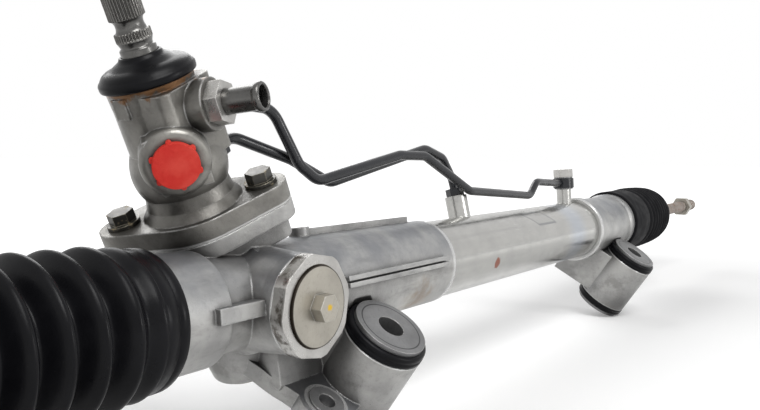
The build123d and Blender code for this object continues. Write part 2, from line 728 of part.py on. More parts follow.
# Rubber dust cap over the top of the tower
with BuildPart() as dust_cap:
    cap_line = [(cap_rim_radius + step, rise) for step, rise in cap_shoulder]
    cap_line += [(cap_neck_radius + step, rise) for step, rise in cap_lip + cap_inside]
    cap_line += [(tower_lip_radius + step, rise) for step, rise in cap_lip_seat]
    pinion_turned([(tower_lip_radius, tower_top), (cap_rim_radius, tower_top),
                   (cap_rim_radius, tower_top + cap_rim_height)]
                  + [(radius, tower_top + rise) for radius, rise in cap_line])
dust_cap.part.label = "dust_cap"
export_step(dust_cap.part, "parts/dust_cap.step")

with BuildPart() as upper_oil_seal:
    pinion_ring(oil_seal_level, tower_top + tower_lip_height - 1, shaft_radius + running_gap,
                shaft_bearing_radius)
upper_oil_seal.part.label = "upper_oil_seal"
export_step(upper_oil_seal.part, "parts/upper_oil_seal.step")

with BuildPart() as upper_shaft_bearing:
    pinion_ring(shaft_bearing_level, oil_seal_level, shaft_radius + running_gap, shaft_bearing_radius)
upper_shaft_bearing.part.label = "upper_shaft_bearing"
export_step(upper_shaft_bearing.part, "parts/upper_shaft_bearing.step")

with BuildPart() as pinion_oil_seal:
    pinion_ring(upper_bearing_end, seal_end, upper_journal_radius + running_gap, upper_bearing_radius)
pinion_oil_seal.part.label = "pinion_oil_seal"
export_step(pinion_oil_seal.part, "parts/pinion_oil_seal.step")

with BuildPart() as pinion_upper_bearing:
    pinion_ring(bearing_offset, upper_bearing_end, upper_journal_radius + running_gap, upper_bearing_radius)
pinion_upper_bearing.part.label = "pinion_upper_bearing"
export_step(pinion_upper_bearing.part, "parts/pinion_upper_bearing.step")

with BuildPart() as pinion_lower_bearing:
    pinion_ring(lower_bearing_end, -bearing_offset, lower_journal_radius + running_gap, lower_bearing_radius)
pinion_lower_bearing.part.label = "pinion_lower_bearing"
export_step(pinion_lower_bearing.part, "parts/pinion_lower_bearing.step")

with BuildPart() as pinion_bottom_cap:
    rod(across_pinion(case_bottom), bottom_cap_radius, bottom_cap_height)
    hexagon(across_pinion(case_bottom - bottom_hex_height), bottom_cap_hex, bottom_hex_height)
pinion_bottom_cap.part.label = "pinion_bottom_cap"
export_step(pinion_bottom_cap.part, "parts/pinion_bottom_cap.step")

# Pinion with its helical teeth, journals and slotted head
transverse_angle = acos(1 / sqrt(1 + (tan(pressure_angle) / cos(skew)) ** 2))
base_radius = pitch_radius * cos(transverse_angle)
pinion_root_radius = pinion_offset - rack_tip - root_clearance
tooth_width = (pi / 2 + 2 * profile_shift * tan(pressure_angle)) * tooth_module - 2 * tooth_backlash
half_tooth = tooth_width / cos(skew) / 2 / pitch_radius
half_base = half_tooth + tan(transverse_angle) - transverse_angle
helix_rate = tan(skew) / pitch_radius


def flank_half_angle(radius):
    """Half the angle that a pinion tooth fills at a radius outside the base circle."""
    roll = acos(base_radius / radius)
    return half_base - tan(roll) + roll


def gear_point(radius, angle):
    """A point on the pinion's end face, with angle 0 towards the rack bar."""
    return (radius * sin(angle), -radius * cos(angle))


with BuildPart() as pinion:
    start_turn = -pinion_face_half * helix_rate
    flank_radii = [base_radius + (pinion_tip_radius - base_radius) * step / 4 for step in range(5)]
    with BuildSketch(across_pinion(-pinion_face_half)) as gear_face:
        with BuildLine():
            for tooth in range(tooth_count):
                middle = start_turn + tooth * 2 * pi / tooth_count
                rise = [gear_point(r, middle - flank_half_angle(r)) for r in flank_radii]
                fall = [gear_point(r, middle + flank_half_angle(r)) for r in reversed(flank_radii)]
                foot_in = gear_point(pinion_root_radius, middle - half_base)
                foot_out = gear_point(pinion_root_radius, middle + half_base)
                next_foot = gear_point(pinion_root_radius, middle + 2 * pi / tooth_count - half_base)
                root_middle = gear_point(pinion_root_radius, middle + pi / tooth_count)
                Line(foot_in, rise[0])
                Spline(*rise)
                ThreePointArc(rise[-1], gear_point(pinion_tip_radius, middle), fall[0])
                Spline(*fall)
                Line(fall[-1], foot_out)
                ThreePointArc(foot_out, root_middle, next_foot)
        make_face()
    twist = degrees(2 * pinion_face_half * helix_rate)
    gear = Solid.extrude_linear_with_rotation(gear_face.sketch.face(),
                                              pinion_origin + pinion_way * -pinion_face_half,
                                              pinion_way * (2 * pinion_face_half), twist)
    add(gear)
    pinion_turned([(0, pinion_nut_end), (pinion_thread_radius, pinion_nut_end),
                   (pinion_thread_radius, lower_bearing_end),
                   (lower_journal_radius, lower_bearing_end), (lower_journal_radius, -bearing_offset),
                   (pinion_neck_radius, -bearing_offset), (pinion_neck_radius, -pinion_face_half),
                   (0, -pinion_face_half)])
    pinion_turned([(0, pinion_face_half), (pinion_neck_radius, pinion_face_half),
                   (pinion_neck_radius, bearing_offset),
                   (upper_journal_radius, bearing_offset), (upper_journal_radius, pinion_head_level),
                   (pinion_head_radius, pinion_head_level), (pinion_head_radius, pinion_head_end),
                   (0, pinion_head_end)])
    # Slot for the input shaft's tang, and the bore for the torsion bar
    with BuildSketch(across_pinion(pinion_head_end - tang_depth)) as slot:
        Circle(tang_radius + free_gap)
        Rectangle(tang_radius * 4, 2 * (tang_half_width + tang_radius * sin(coupling_play) + free_gap),
                  mode=Mode.INTERSECT)
        Circle(torsion_head_radius + free_gap)
    extrude(slot.sketch, amount=tang_depth + 1, mode=Mode.SUBTRACT)
    pinion_ring(pinion_face_half - torsion_head_length, pinion_head_end + 1, 0, torsion_head_radius,
                Mode.SUBTRACT)
pinion.part.label = "pinion"
export_step(pinion.part, "parts/pinion.step")

with BuildPart() as pinion_nut:
    hexagon(across_pinion(pinion_nut_end), pinion_nut_flats, pinion_nut_height, pinion_thread_radius)
pinion_nut.part.label = "pinion_nut"
export_step(pinion_nut.part, "parts/pinion_nut.step")

# Valve sleeve with its ring grooves and ports
ring_spacing = valve_sleeve_length / valve_ring_count
ring_levels = [pinion_head_end + ring_spacing * (n + 0.5) for n in range(valve_ring_count)]
valve_sleeve_radius = valve_bore_radius - running_gap
with BuildPart() as valve_sleeve:
    pinion_ring(pinion_head_end, sleeve_end, spool_radius + running_gap, valve_sleeve_radius)
    for level in ring_levels:
        pinion_ring(level - valve_ring_width / 2, level + valve_ring_width / 2,
                    valve_sleeve_radius - valve_ring_depth,
                    valve_sleeve_radius + 1, Mode.SUBTRACT)
valve_sleeve.part.label = "valve_sleeve"
export_step(valve_sleeve.part, "parts/valve_sleeve.step")

with BuildPart() as valve_sleeve_rings:
    for level in ring_levels:
        pinion_ring(level - valve_ring_width / 2, level + valve_ring_width / 2,
                    valve_sleeve_radius - valve_ring_depth,
                    valve_sleeve_radius)
valve_sleeve_rings.part.label = "valve_sleeve_rings"
export_step(valve_sleeve_rings.part, "parts/valve_sleeve_rings.step")

# Torsion bar: thick ends, thin middle
torsion_top = lower_serration[0] + torsion_head_length
with BuildPart() as torsion_bar:
    pinion_ring(pinion_face_half - torsion_head_length, pinion_face_half, 0, torsion_head_radius)
    pinion_ring(pinion_face_half, lower_serration[0], 0, torsion_bar_radius)
    pinion_ring(lower_serration[0], torsion_top, 0, torsion_head_radius)
torsion_bar.part.label = "torsion_bar"
export_step(torsion_bar.part, "parts/torsion_bar.step")


def serrations(low, high):
    """A band of fine pointed teeth round the input shaft."""
    with BuildSketch(across_pinion(low)) as band:
        with BuildLine():
            steps = [(serration_radius - serration_depth * (n % 2), pi * n / serration_count)
                     for n in range(2 * serration_count)]
            Polyline(*[(radius * cos(turn), radius * sin(turn)) for radius, turn in steps], close=True)
        make_face()
    extrude(band.sketch, amount=high - low)


# Input shaft: tang, spool, collar, serrations and the groove for the pinch bolt
with BuildPart() as input_shaft:
    with BuildSketch(across_pinion(pinion_head_end - tang_depth + free_gap)) as tang:
        Circle(tang_radius)
        Rectangle(tang_radius * 4, 2 * tang_half_width, mode=Mode.INTERSECT)
        Circle(torsion_head_radius + 1)
    extrude(tang.sketch, amount=tang_depth)
    spool_start = pinion_head_end + free_gap
    pinion_turned([(0, spool_start), (spool_radius, spool_start), (spool_radius, sleeve_end + 1),
                   (shaft_radius, shaft_bearing_level), (shaft_radius, shaft_collar_top - shaft_chamfer),
                   (shaft_radius - shaft_chamfer, shaft_collar_top), (shaft_neck_radius, shaft_collar_top),
                   (shaft_neck_radius, lower_serration[0]), (0, lower_serration[0])])
    serrations(*lower_serration)
    serrations(*upper_serration)
    groove_middle = (lower_serration[1] + upper_serration[0]) / 2
    pinion_turned([(0, lower_serration[1]), (shaft_neck_radius + shaft_chamfer, lower_serration[1]),
                   (pinch_groove_radius, groove_middle - pinch_groove_half),
                   (pinch_groove_radius, groove_middle + pinch_groove_half),
                   (shaft_neck_radius + shaft_chamfer, upper_serration[0]), (0, upper_serration[0])])
    chamfer_start = upper_serration[1] - serration_end_chamfer
    chamfer_radius = serration_radius - serration_end_chamfer
    pinion_turned([(chamfer_radius, upper_serration[1]), (serration_radius, chamfer_start),
                   (serration_radius + 2, chamfer_start), (serration_radius + 2, upper_serration[1] + 1),
                   (chamfer_radius, upper_serration[1] + 1)], Mode.SUBTRACT)
    pinion_ring(pinion_head_end - tang_depth - 1, lower_serration[0], 0, torsion_bar_radius + free_gap,
                Mode.SUBTRACT)
    pinion_ring(lower_serration[0] - 1, torsion_top + running_gap, 0, torsion_head_radius + running_gap,
                Mode.SUBTRACT)
    pinion_ring(torsion_top - 1, upper_serration[1] + 1, 0, torsion_bar_radius, Mode.SUBTRACT)
input_shaft.part.label = "input_shaft"
export_step(input_shaft.part, "parts/input_shaft.step")

# Return pipe with its union nut, and the plug in the pressure port
with BuildPart() as return_pipe:
    spigot_length = return_port[2] - valve_bore_radius - 1
    pipe(across_valve_port(return_port, -spigot_length), port_passage_radius, return_pipe_bore - 1,
         spigot_length)
    pipe(across_valve_port(return_port), return_pipe_radius, return_pipe_bore, return_pipe_length)
    pipe(across_valve_port(return_port, return_pipe_length - return_bead_length), return_bead_radius,
         return_pipe_bore, return_bead_length)
return_pipe.part.label = "return_pipe"
export_step(return_pipe.part, "parts/return_pipe.step")

with BuildPart() as return_union_nut:
    hexagon(across_valve_port(return_port), union_nut_flats, union_nut_height, return_pipe_radius)
return_union_nut.part.label = "return_union_nut"
export_step(return_union_nut.part, "parts/return_union_nut.step")

with BuildPart() as port_cap:
    rod(across_valve_port(pressure_port), cap_disc_radius, cap_disc_height)
    rod(across_valve_port(pressure_port), cap_plug_radius, -cap_plug_depth)
    with BuildSketch(across_valve_port(pressure_port)) as tabs:
        with PolarLocations(cap_disc_radius, cap_tab_count):
            Circle(cap_tab_radius)
    extrude(tabs.sketch, amount=cap_disc_height - cap_tab_set_back)
port_cap.part.label = "port_cap"
export_step(port_cap.part, "parts/port_cap.step")


# Transfer tubes between the valve and the cylinder
def in_row(point):
    """A point of a route in the part's own frame."""
    return rack_origin + Vector(*point)


def bend_radii(points):
    """Bend radius of each corner, kept within the runs beside it."""
    radii = []
    for before, corner, after in zip(points, points[1:], points[2:]):
        run_in = corner - before
        run_out = after - corner
        half_turn = radians(run_in.get_angle(run_out)) / 2
        largest = 0.45 * min(run_in.length, run_out.length) / tan(half_turn)
        radii.append(min(tube_bend_radius, largest))
    return radii


def bent_tube(points):
    """A hollow tube along straight runs joined by tangent arcs."""
    with BuildLine() as route:
        FilletPolyline(*points, radius=bend_radii(points))
    start = points[0]
    way = (points[1] - start).normalized()
    with BuildSketch(Plane(origin=start, z_dir=way)) as section:
        Circle(tube_outer_radius)
        Circle(tube_bore_radius, mode=Mode.SUBTRACT)
    sweep(section.sketch, path=route.line)


front_seat = across_valve_port(front_tube_port, -tube_seat_depth)
rear_seat = across_valve_port(rear_tube_port, -tube_seat_depth)
banjo_level = far_port_height + banjo_washer_thickness
banjo_seat = across_cylinder_port(far_port, far_port_turn, banjo_level + banjo_height / 2)
near_seat = across_cylinder_port(near_port, near_port_turn, near_port_height - near_seat_depth)
front_points = [front_seat.origin, front_seat.origin + front_seat.z_dir * front_first_run]
front_points += [in_row(p) for p in front_route]
front_points += [banjo_seat.origin - rack_way * (banjo_radius - 1)]
rear_points = [rear_seat.origin, rear_seat.origin + rear_seat.z_dir * rear_first_run]
rear_points += [in_row(p) for p in rear_route]
rear_points += [near_seat.origin + near_seat.z_dir * rear_last_run, near_seat.origin]
for name, points in (("front_transfer_tube", front_points), ("rear_transfer_tube", rear_points)):
    with BuildPart() as transfer_tube:
        bent_tube(points)
    transfer_tube.part.label = name
    export_step(transfer_tube.part, f"parts/{name}.step")

with BuildPart() as tube_nuts:
    hexagon(across_valve_port(front_tube_port), tube_nut_flats, tube_nut_length, tube_outer_radius)
    hexagon(across_valve_port(rear_tube_port), tube_nut_flats, tube_nut_length, tube_outer_radius)
    hexagon(across_cylinder_port(near_port, near_port_turn, near_port_height), tube_nut_flats,
            short_nut_length,
            tube_outer_radius)
tube_nuts.part.label = "tube_nuts"
export_step(tube_nuts.part, "parts/tube_nuts.step")

with BuildPart() as banjo_eye:
    pipe(across_cylinder_port(far_port, far_port_turn, banjo_level), banjo_radius, port_bolt_radius,
         banjo_height)
    with BuildSketch(Plane(origin=front_points[-1], z_dir=front_points[-2] - front_points[-1])) as tube_hole:
        Circle(tube_outer_radius)
    extrude(tube_hole.sketch, amount=banjo_radius, mode=Mode.SUBTRACT)
banjo_eye.part.label = "banjo_eye"
export_step(banjo_eye.part, "parts/banjo_eye.step")

with BuildPart() as banjo_washers:
    for height in (far_port_height, banjo_level + banjo_height):
        pipe(across_cylinder_port(far_port, far_port_turn, height), banjo_radius - 1, port_bolt_radius,
             banjo_washer_thickness)
banjo_washers.part.label = "banjo_washers"
export_step(banjo_washers.part, "parts/banjo_washers.step")

with BuildPart() as banjo_bolt:
    head_level = banjo_level + banjo_height + banjo_washer_thickness
    hexagon(across_cylinder_port(far_port, far_port_turn, head_level), banjo_bolt_flats, banjo_bolt_head)
    rod(across_cylinder_port(far_port, far_port_turn, head_level), port_bolt_radius,
        -(head_level - cylinder_radius - 2))
banjo_bolt.part.label = "banjo_bolt"
export_step(banjo_bolt.part, "parts/banjo_bolt.step")

# Seals and bushing of the rack bar
with BuildPart() as inner_rack_seal:
    rack_ring(cylinder_start - inner_seal_length, cylinder_start, bar_radius + running_gap,
              seal_holder_radius)
inner_rack_seal.part.label = "inner_rack_seal"
export_step(inner_rack_seal.part, "parts/inner_rack_seal.step")

with BuildPart() as end_bushing:
    rack_ring(bushing_start, outer_seal_start, bar_radius + running_gap, seal_holder_radius)
end_bushing.part.label = "end_bushing"
export_step(end_bushing.part, "parts/end_bushing.step")

with BuildPart() as bushing_snap_ring:
    rack_ring(bushing_ring_start, bushing_ring_start + snap_ring_section, bar_radius + snap_ring_inset,
              seal_holder_radius + snap_groove_depth)
bushing_snap_ring.part.label = "bushing_snap_ring"
export_step(bushing_snap_ring.part, "parts/bushing_snap_ring.step")

with BuildPart() as outer_rack_seal:
    rack_ring(outer_seal_start, outer_seal_start + outer_seal_length, bar_radius + running_gap,
              seal_holder_radius)
outer_rack_seal.part.label = "outer_rack_seal"
export_step(outer_rack_seal.part, "parts/outer_rack_seal.step")

# Rack bar with its teeth, and what is fixed to it
tooth_zone = stroke + tooth_zone_margin
gap_count = 2 * int(tooth_zone / tooth_pitch) + 1
snap_stations = (piston_station - piston_width / 2 - snap_ring_section, piston_station + piston_width / 2)
with BuildPart() as rack_bar:
    rack_ring(near_bar_end, far_bar_end, 0, bar_radius)
    rack_ring(near_bar_end - socket_thread_length, near_bar_end, 0, socket_thread_radius)
    rack_ring(far_bar_end, far_bar_end + socket_thread_length, 0, socket_thread_radius)
    tooth_plane = Plane(origin=rack_origin, x_dir=rack_way, z_dir=(0, 0, 1))
    with BuildSketch(tooth_plane) as tooth_flat:
        with Locations((0, rack_tip + bar_radius)):
            Rectangle(gap_count * tooth_pitch, 2 * bar_radius)
    extrude(tooth_flat.sketch, amount=bar_radius + 1, both=True, mode=Mode.SUBTRACT)
    with BuildSketch(tooth_plane) as tooth_gaps:
        for n in range(-(gap_count // 2), gap_count // 2 + 1):
            tip_half = tooth_pitch / 4 + (rack_tip + 1 - rack_datum) * tan(pressure_angle)
            root_half = tooth_pitch / 4 - (rack_datum - rack_root) * tan(pressure_angle)
            with BuildLine():
                Polyline((n * tooth_pitch - root_half, rack_root), (n * tooth_pitch + root_half, rack_root),
                         (n * tooth_pitch + tip_half, rack_tip + 1),
                         (n * tooth_pitch - tip_half, rack_tip + 1), close=True)
            make_face()
    extrude(tooth_gaps.sketch, amount=bar_radius + 1, both=True, mode=Mode.SUBTRACT)
    for station in snap_stations:
        rack_ring(station, station + snap_ring_section, bar_radius - snap_groove_depth, bar_radius + 1,
                  Mode.SUBTRACT)
rack_bar.part.label = "rack_bar"
export_step(rack_bar.part, "parts/rack_bar.step")

piston_radius = cylinder_radius - piston_side_gap
with BuildPart() as piston:
    rack_ring(piston_station - piston_width / 2, piston_station + piston_width / 2, bar_radius, piston_radius)
    rack_ring(piston_station - piston_ring_width / 2, piston_station + piston_ring_width / 2,
              piston_radius - piston_ring_depth, piston_radius + 1, Mode.SUBTRACT)
piston.part.label = "piston"
export_step(piston.part, "parts/piston.step")

with BuildPart() as piston_ring:
    rack_ring(piston_station - piston_ring_width / 2, piston_station + piston_ring_width / 2,
              piston_radius - piston_ring_depth, cylinder_radius - running_gap)
piston_ring.part.label = "piston_ring"
export_step(piston_ring.part, "parts/piston_ring.step")

with BuildPart() as piston_snap_rings:
    for station in snap_stations:
        rack_ring(station, station + snap_ring_section, bar_radius - snap_groove_depth,
                  bar_radius + snap_ring_section)
piston_snap_rings.part.label = "piston_snap_rings"
export_step(piston_snap_rings.part, "parts/piston_snap_rings.step")

# Rack guide: saddle, liner, spring, plug and lock nut
with BuildPart() as rack_guide:
    guide_ring(guide_bottom, guide_top, 0, guide_radius)
    rack_ring(-guide_radius - 1, guide_radius + 1, 0, saddle_radius, Mode.SUBTRACT)
    guide_ring(guide_top - spring_pocket_depth, guide_top + 1, 0, spring_pocket_radius, Mode.SUBTRACT)
rack_guide.part.label = "rack_guide"
export_step(rack_guide.part, "parts/rack_guide.step")

with BuildPart() as guide_liner:
    with BuildSketch(across_rack(-guide_radius * 0.6)) as liner_section:
        with BuildLine():
            inner_low = (-guide_liner_radius * cos(liner_reach), -guide_liner_radius * sin(liner_reach))
            inner_high = (-guide_liner_radius * cos(liner_reach), guide_liner_radius * sin(liner_reach))
            outer_low = (-saddle_radius * cos(liner_reach), -saddle_radius * sin(liner_reach))
            outer_high = (-saddle_radius * cos(liner_reach), saddle_radius * sin(liner_reach))
            ThreePointArc(inner_low, (-guide_liner_radius, 0), inner_high)
            Line(inner_high, outer_high)
            ThreePointArc(outer_high, (-saddle_radius, 0), outer_low)
            Line(outer_low, inner_low)
        make_face()
    extrude(liner_section.sketch, amount=guide_radius * 1.2)
guide_liner.part.label = "guide_liner"
export_step(guide_liner.part, "parts/guide_liner.step")

spring_low = guide_top - spring_pocket_depth
spring_high = plug_inner_face + spring_pocket_depth
with BuildPart() as guide_spring:
    coil_height = spring_high - spring_low - spring_wire - 2 * spring_end_gap
    coil_start = rack_origin + guide_way * (spring_low + spring_wire / 2 + spring_end_gap)
    with BuildLine():
        coil = Helix(pitch=coil_height / spring_turns, height=coil_height, radius=spring_radius,
                     center=coil_start,
                     direction=guide_way)
    with BuildSketch(Plane(origin=coil @ 0, z_dir=coil % 0)) as wire_section:
        Circle(spring_wire / 2)
    sweep(wire_section.sketch, path=coil, is_frenet=True)
guide_spring.part.label = "guide_spring"
export_step(guide_spring.part, "parts/guide_spring.step")

with BuildPart() as guide_plug:
    guide_ring(plug_inner_face, plug_outer_face, 0, plug_radius)
    guide_ring(plug_inner_face - 1, plug_inner_face + spring_pocket_depth, 0, spring_pocket_radius,
               Mode.SUBTRACT)
    hexagon(across_guide(plug_outer_face), plug_hex_flats, plug_hex_height)
guide_plug.part.label = "guide_plug"
export_step(guide_plug.part, "parts/guide_plug.step")

with BuildPart() as guide_lock_nut:
    with BuildSketch(across_guide(guide_boss_face)) as nut_outline:
        RegularPolygon(lock_nut_radius, 8, rotation=lock_nut_turn)
        Circle(lock_nut_radius - lock_nut_corner, mode=Mode.INTERSECT)
        Circle(plug_radius, mode=Mode.SUBTRACT)
    extrude(nut_outline.sketch, amount=lock_nut_height)
guide_lock_nut.part.label = "guide_lock_nut"
export_step(guide_lock_nut.part, "parts/guide_lock_nut.step")

# Mount bushes: a steel sleeve with end discs in a rubber sleeve
sleeve_radius = bolt_hole_radius + sleeve_wall
disc_level = bush_half_length - sleeve_disc_thickness
for place, station, drop in (("near", near_mount, near_mount_drop), ("far", far_mount, far_mount_drop)):
    with BuildPart() as mount_sleeve:
        mount_ring(station, drop, -bush_half_length, bush_half_length, bolt_hole_radius, sleeve_radius)
        mount_ring(station, drop, disc_level, bush_half_length, bolt_hole_radius, sleeve_disc_radius)
        mount_ring(station, drop, -bush_half_length, -disc_level, bolt_hole_radius, sleeve_disc_radius)
    mount_sleeve.part.label = f"{place}_mount_sleeve"
    export_step(mount_sleeve.part, f"parts/{place}_mount_sleeve.step")
    with BuildPart() as mount_rubber:
        mount_ring(station, drop, -disc_level, disc_level, sleeve_radius, rubber_radius)
        mount_ring(station, drop, mount_boss_half, disc_level, sleeve_radius, rubber_rim_radius)
        mount_ring(station, drop, -disc_level, -mount_boss_half, sleeve_radius, rubber_rim_radius)
    mount_rubber.part.label = f"{place}_mount_rubber"
    export_step(mount_rubber.part, f"parts/{place}_mount_rubber.step")

with BuildPart() as lug_insert:
    pipe(across_mount(lug_station, lug_insert_proud - lug_drop - lug_insert_length, lug_reach),
         lug_insert_radius,
         lug_thread_radius, lug_insert_length)
lug_insert.part.label = "lug_insert"
export_step(lug_insert.part, "parts/lug_insert.step")

# Ball joints, tie rods and boots at both ends
seat_radius = socket_cavity_radius - running_gap
rod_start = ball_radius * 0.7
rod_shoulder = socket_radius + 6
jam_nut_reach = rod_length - jam_nut_setback
thread_start = rod_length - rod_thread_length
jam_nut_end = jam_nut_reach + jam_nut_height


def neck_wedge(ball, way, radius, half_angle):
    """The cone that the rod's neck swings in, cut from a socket or a seat."""
    depth = radius * 1.4
    rack_turned([(ball, 0), (ball + way * depth, depth * tan(half_angle)), (ball + way * depth, 0)],
                Mode.SUBTRACT)


washer_outer = socket_radius - 1
for place, way, ball in (("near", -1, near_ball), ("far", 1, far_ball)):
    inner_face = ball - way * (socket_nose - lock_washer_thickness)
    with BuildPart() as ball_socket:
        rack_turned([(inner_face, 0), (inner_face, socket_radius - 1), (inner_face + way, socket_radius),
                     (ball + way * socket_mouth * 0.5, socket_radius),
                     (ball + way * socket_mouth, socket_radius - 3),
                     (ball + way * socket_mouth, 0)])
        with Locations(Plane(origin=rack_origin + rack_way * ball)):
            Sphere(socket_cavity_radius, mode=Mode.SUBTRACT)
        neck_wedge(ball, way, socket_radius, mouth_half_angle)
        thread_end = ball - way * (socket_nose - socket_thread_length)
        rack_ring(min(thread_end, inner_face), max(thread_end, inner_face), 0, socket_thread_radius,
                  Mode.SUBTRACT)
    ball_socket.part.label = f"{place}_ball_socket"
    export_step(ball_socket.part, f"parts/{place}_ball_socket.step")
    with BuildPart() as ball_seat:
        with Locations(Plane(origin=rack_origin + rack_way * ball)):
            Sphere(seat_radius)
            Sphere(ball_radius + running_gap, mode=Mode.SUBTRACT)
        rack_ring(min(ball - way * seat_radius, ball - way * socket_thread_radius),
                  max(ball - way * seat_radius, ball - way * socket_thread_radius), 0, seat_radius,
                  Mode.SUBTRACT)
        neck_wedge(ball, way, seat_radius, mouth_half_angle)
    ball_seat.part.label = f"{place}_ball_seat"
    export_step(ball_seat.part, f"parts/{place}_ball_seat.step")
    with BuildPart() as tie_rod:
        with Locations(Plane(origin=rack_origin + rack_way * ball)):
            Sphere(ball_radius)
        rod_line = [(0, 0), (rod_start, rod_neck_radius), (rod_shoulder, rod_radius),
                    (thread_start, rod_radius), (thread_start + end_chamfer, rod_thread_radius),
                    (jam_nut_reach, rod_thread_radius), (jam_nut_reach, engaged_thread_radius),
                    (jam_nut_end, engaged_thread_radius), (jam_nut_end, rod_thread_radius),
                    (rod_length - end_chamfer, rod_thread_radius),
                    (rod_length, rod_thread_radius - end_chamfer), (rod_length, 0)]
        rack_turned([(ball + way * reach, radius) for reach, radius in rod_line])
    tie_rod.part.label = f"{place}_tie_rod"
    export_step(tie_rod.part, f"parts/{place}_tie_rod.step")
    with BuildPart() as jam_nut:
        nut_face = across_rack(min(ball + way * jam_nut_reach, ball + way * jam_nut_end))
        hexagon(nut_face, jam_nut_flats, jam_nut_height, engaged_thread_radius)
    jam_nut.part.label = f"{place}_jam_nut"
    export_step(jam_nut.part, f"parts/{place}_jam_nut.step")

with BuildPart() as socket_lock_washers:
    for way, face in ((-1, near_bar_end), (1, far_bar_end)):
        rack_ring(min(face, face + way * lock_washer_thickness),
                  max(face, face + way * lock_washer_thickness),
                  socket_thread_radius, washer_outer)
socket_lock_washers.part.label = "socket_lock_washers"
export_step(socket_lock_washers.part, "parts/socket_lock_washers.step")


def boot_outline(way, lip, collar, seat, fold_start, pitch, crest, valley, ball):
    """Outer and inner lines of a folded boot, as (station, radius) points."""
    clip_end = ball + way * boot_neck_reach
    clip_start = clip_end - way * boot_neck_length
    fold_count = round(abs(clip_start - fold_start) / pitch)
    step = (clip_start - fold_start) / fold_count
    taper_start = clip_start - way * boot_taper_length
    outer = [(lip, boot_collar_radius), (lip + way * collar, boot_collar_radius)]
    for n in range(fold_count):
        middle = fold_start + step * (n + 0.5)
        share = max(0.0, way * (middle - taper_start) / boot_taper_length)
        high = crest + (neck_crest_radius - crest) * share
        low = valley + (boot_neck_radius + boot_wall - valley) * share
        outer += [(fold_start + step * n, low), (middle - step * 0.15, high), (middle + step * 0.15, high)]
    outer += [(clip_start, boot_neck_radius), (clip_end, boot_neck_radius)]
    inner = [(x, r - boot_wall * 1.3) for x, r in outer[2:-2]]
    inner = [(lip, seat), (lip + way * (collar - boot_wall), seat)] + inner
    inner += [(clip_start - way * boot_wall, rod_radius), (clip_end, rod_radius)]
    return outer + inner[::-1]


with BuildPart() as near_boot:
    rack_turned(boot_outline(-1, lip_station, near_collar_length, spigot_rim_radius - spigot_groove,
                             lip_station - near_collar_length - 1, near_fold_pitch, near_crest_radius,
                             near_valley_radius, near_ball))
near_boot.part.label = "near_boot"
export_step(near_boot.part, "parts/near_boot.step")

with BuildPart() as far_boot:
    rack_turned(boot_outline(1, far_spigot, far_collar_length, spigot_rim_radius,
                             far_spigot + far_collar_length + 1,
                             far_fold_pitch, far_crest_radius, far_valley_radius, far_ball))
far_boot.part.label = "far_boot"
export_step(far_boot.part, "parts/far_boot.step")

# Spring clips on the boots' necks
for place, way, ball in (("near", -1, near_ball), ("far", 1, far_ball)):
    clip_station = ball + way * (boot_neck_reach - boot_neck_length / 2)
    with BuildPart() as boot_clip:
        rack_ring(clip_station - clip_wire_radius, clip_station + clip_wire_radius, boot_neck_radius,
                  boot_neck_radius + 2 * clip_wire_radius)
    boot_clip.part.label = f"{place}_boot_clip"
    export_step(boot_clip.part, f"parts/{place}_boot_clip.step")
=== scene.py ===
import json
from math import cos, pi, radians, sin

import bmesh
import bpy
from mathutils import Matrix, Vector


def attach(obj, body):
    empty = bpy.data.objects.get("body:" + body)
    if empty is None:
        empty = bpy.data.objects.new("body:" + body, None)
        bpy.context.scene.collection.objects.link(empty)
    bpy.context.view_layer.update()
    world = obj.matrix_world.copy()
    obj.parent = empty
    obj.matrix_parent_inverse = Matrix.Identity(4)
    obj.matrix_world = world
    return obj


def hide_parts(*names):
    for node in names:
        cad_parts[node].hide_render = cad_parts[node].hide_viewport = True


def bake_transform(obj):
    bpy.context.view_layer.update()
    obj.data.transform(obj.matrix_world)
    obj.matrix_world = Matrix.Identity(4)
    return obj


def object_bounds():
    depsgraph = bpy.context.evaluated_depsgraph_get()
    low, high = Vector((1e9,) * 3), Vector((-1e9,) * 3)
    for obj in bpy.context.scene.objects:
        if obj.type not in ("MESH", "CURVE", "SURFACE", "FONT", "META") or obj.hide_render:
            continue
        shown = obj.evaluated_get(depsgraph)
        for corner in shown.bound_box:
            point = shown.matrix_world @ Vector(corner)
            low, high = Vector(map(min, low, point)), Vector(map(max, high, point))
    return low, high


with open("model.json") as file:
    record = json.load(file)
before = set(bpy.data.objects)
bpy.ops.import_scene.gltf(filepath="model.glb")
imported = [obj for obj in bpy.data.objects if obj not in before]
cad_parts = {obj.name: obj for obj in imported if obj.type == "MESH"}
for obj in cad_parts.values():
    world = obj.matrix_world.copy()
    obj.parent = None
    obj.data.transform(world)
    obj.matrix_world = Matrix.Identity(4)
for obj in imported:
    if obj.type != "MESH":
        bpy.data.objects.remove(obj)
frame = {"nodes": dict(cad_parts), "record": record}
cad_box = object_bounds()
MM = 0.001

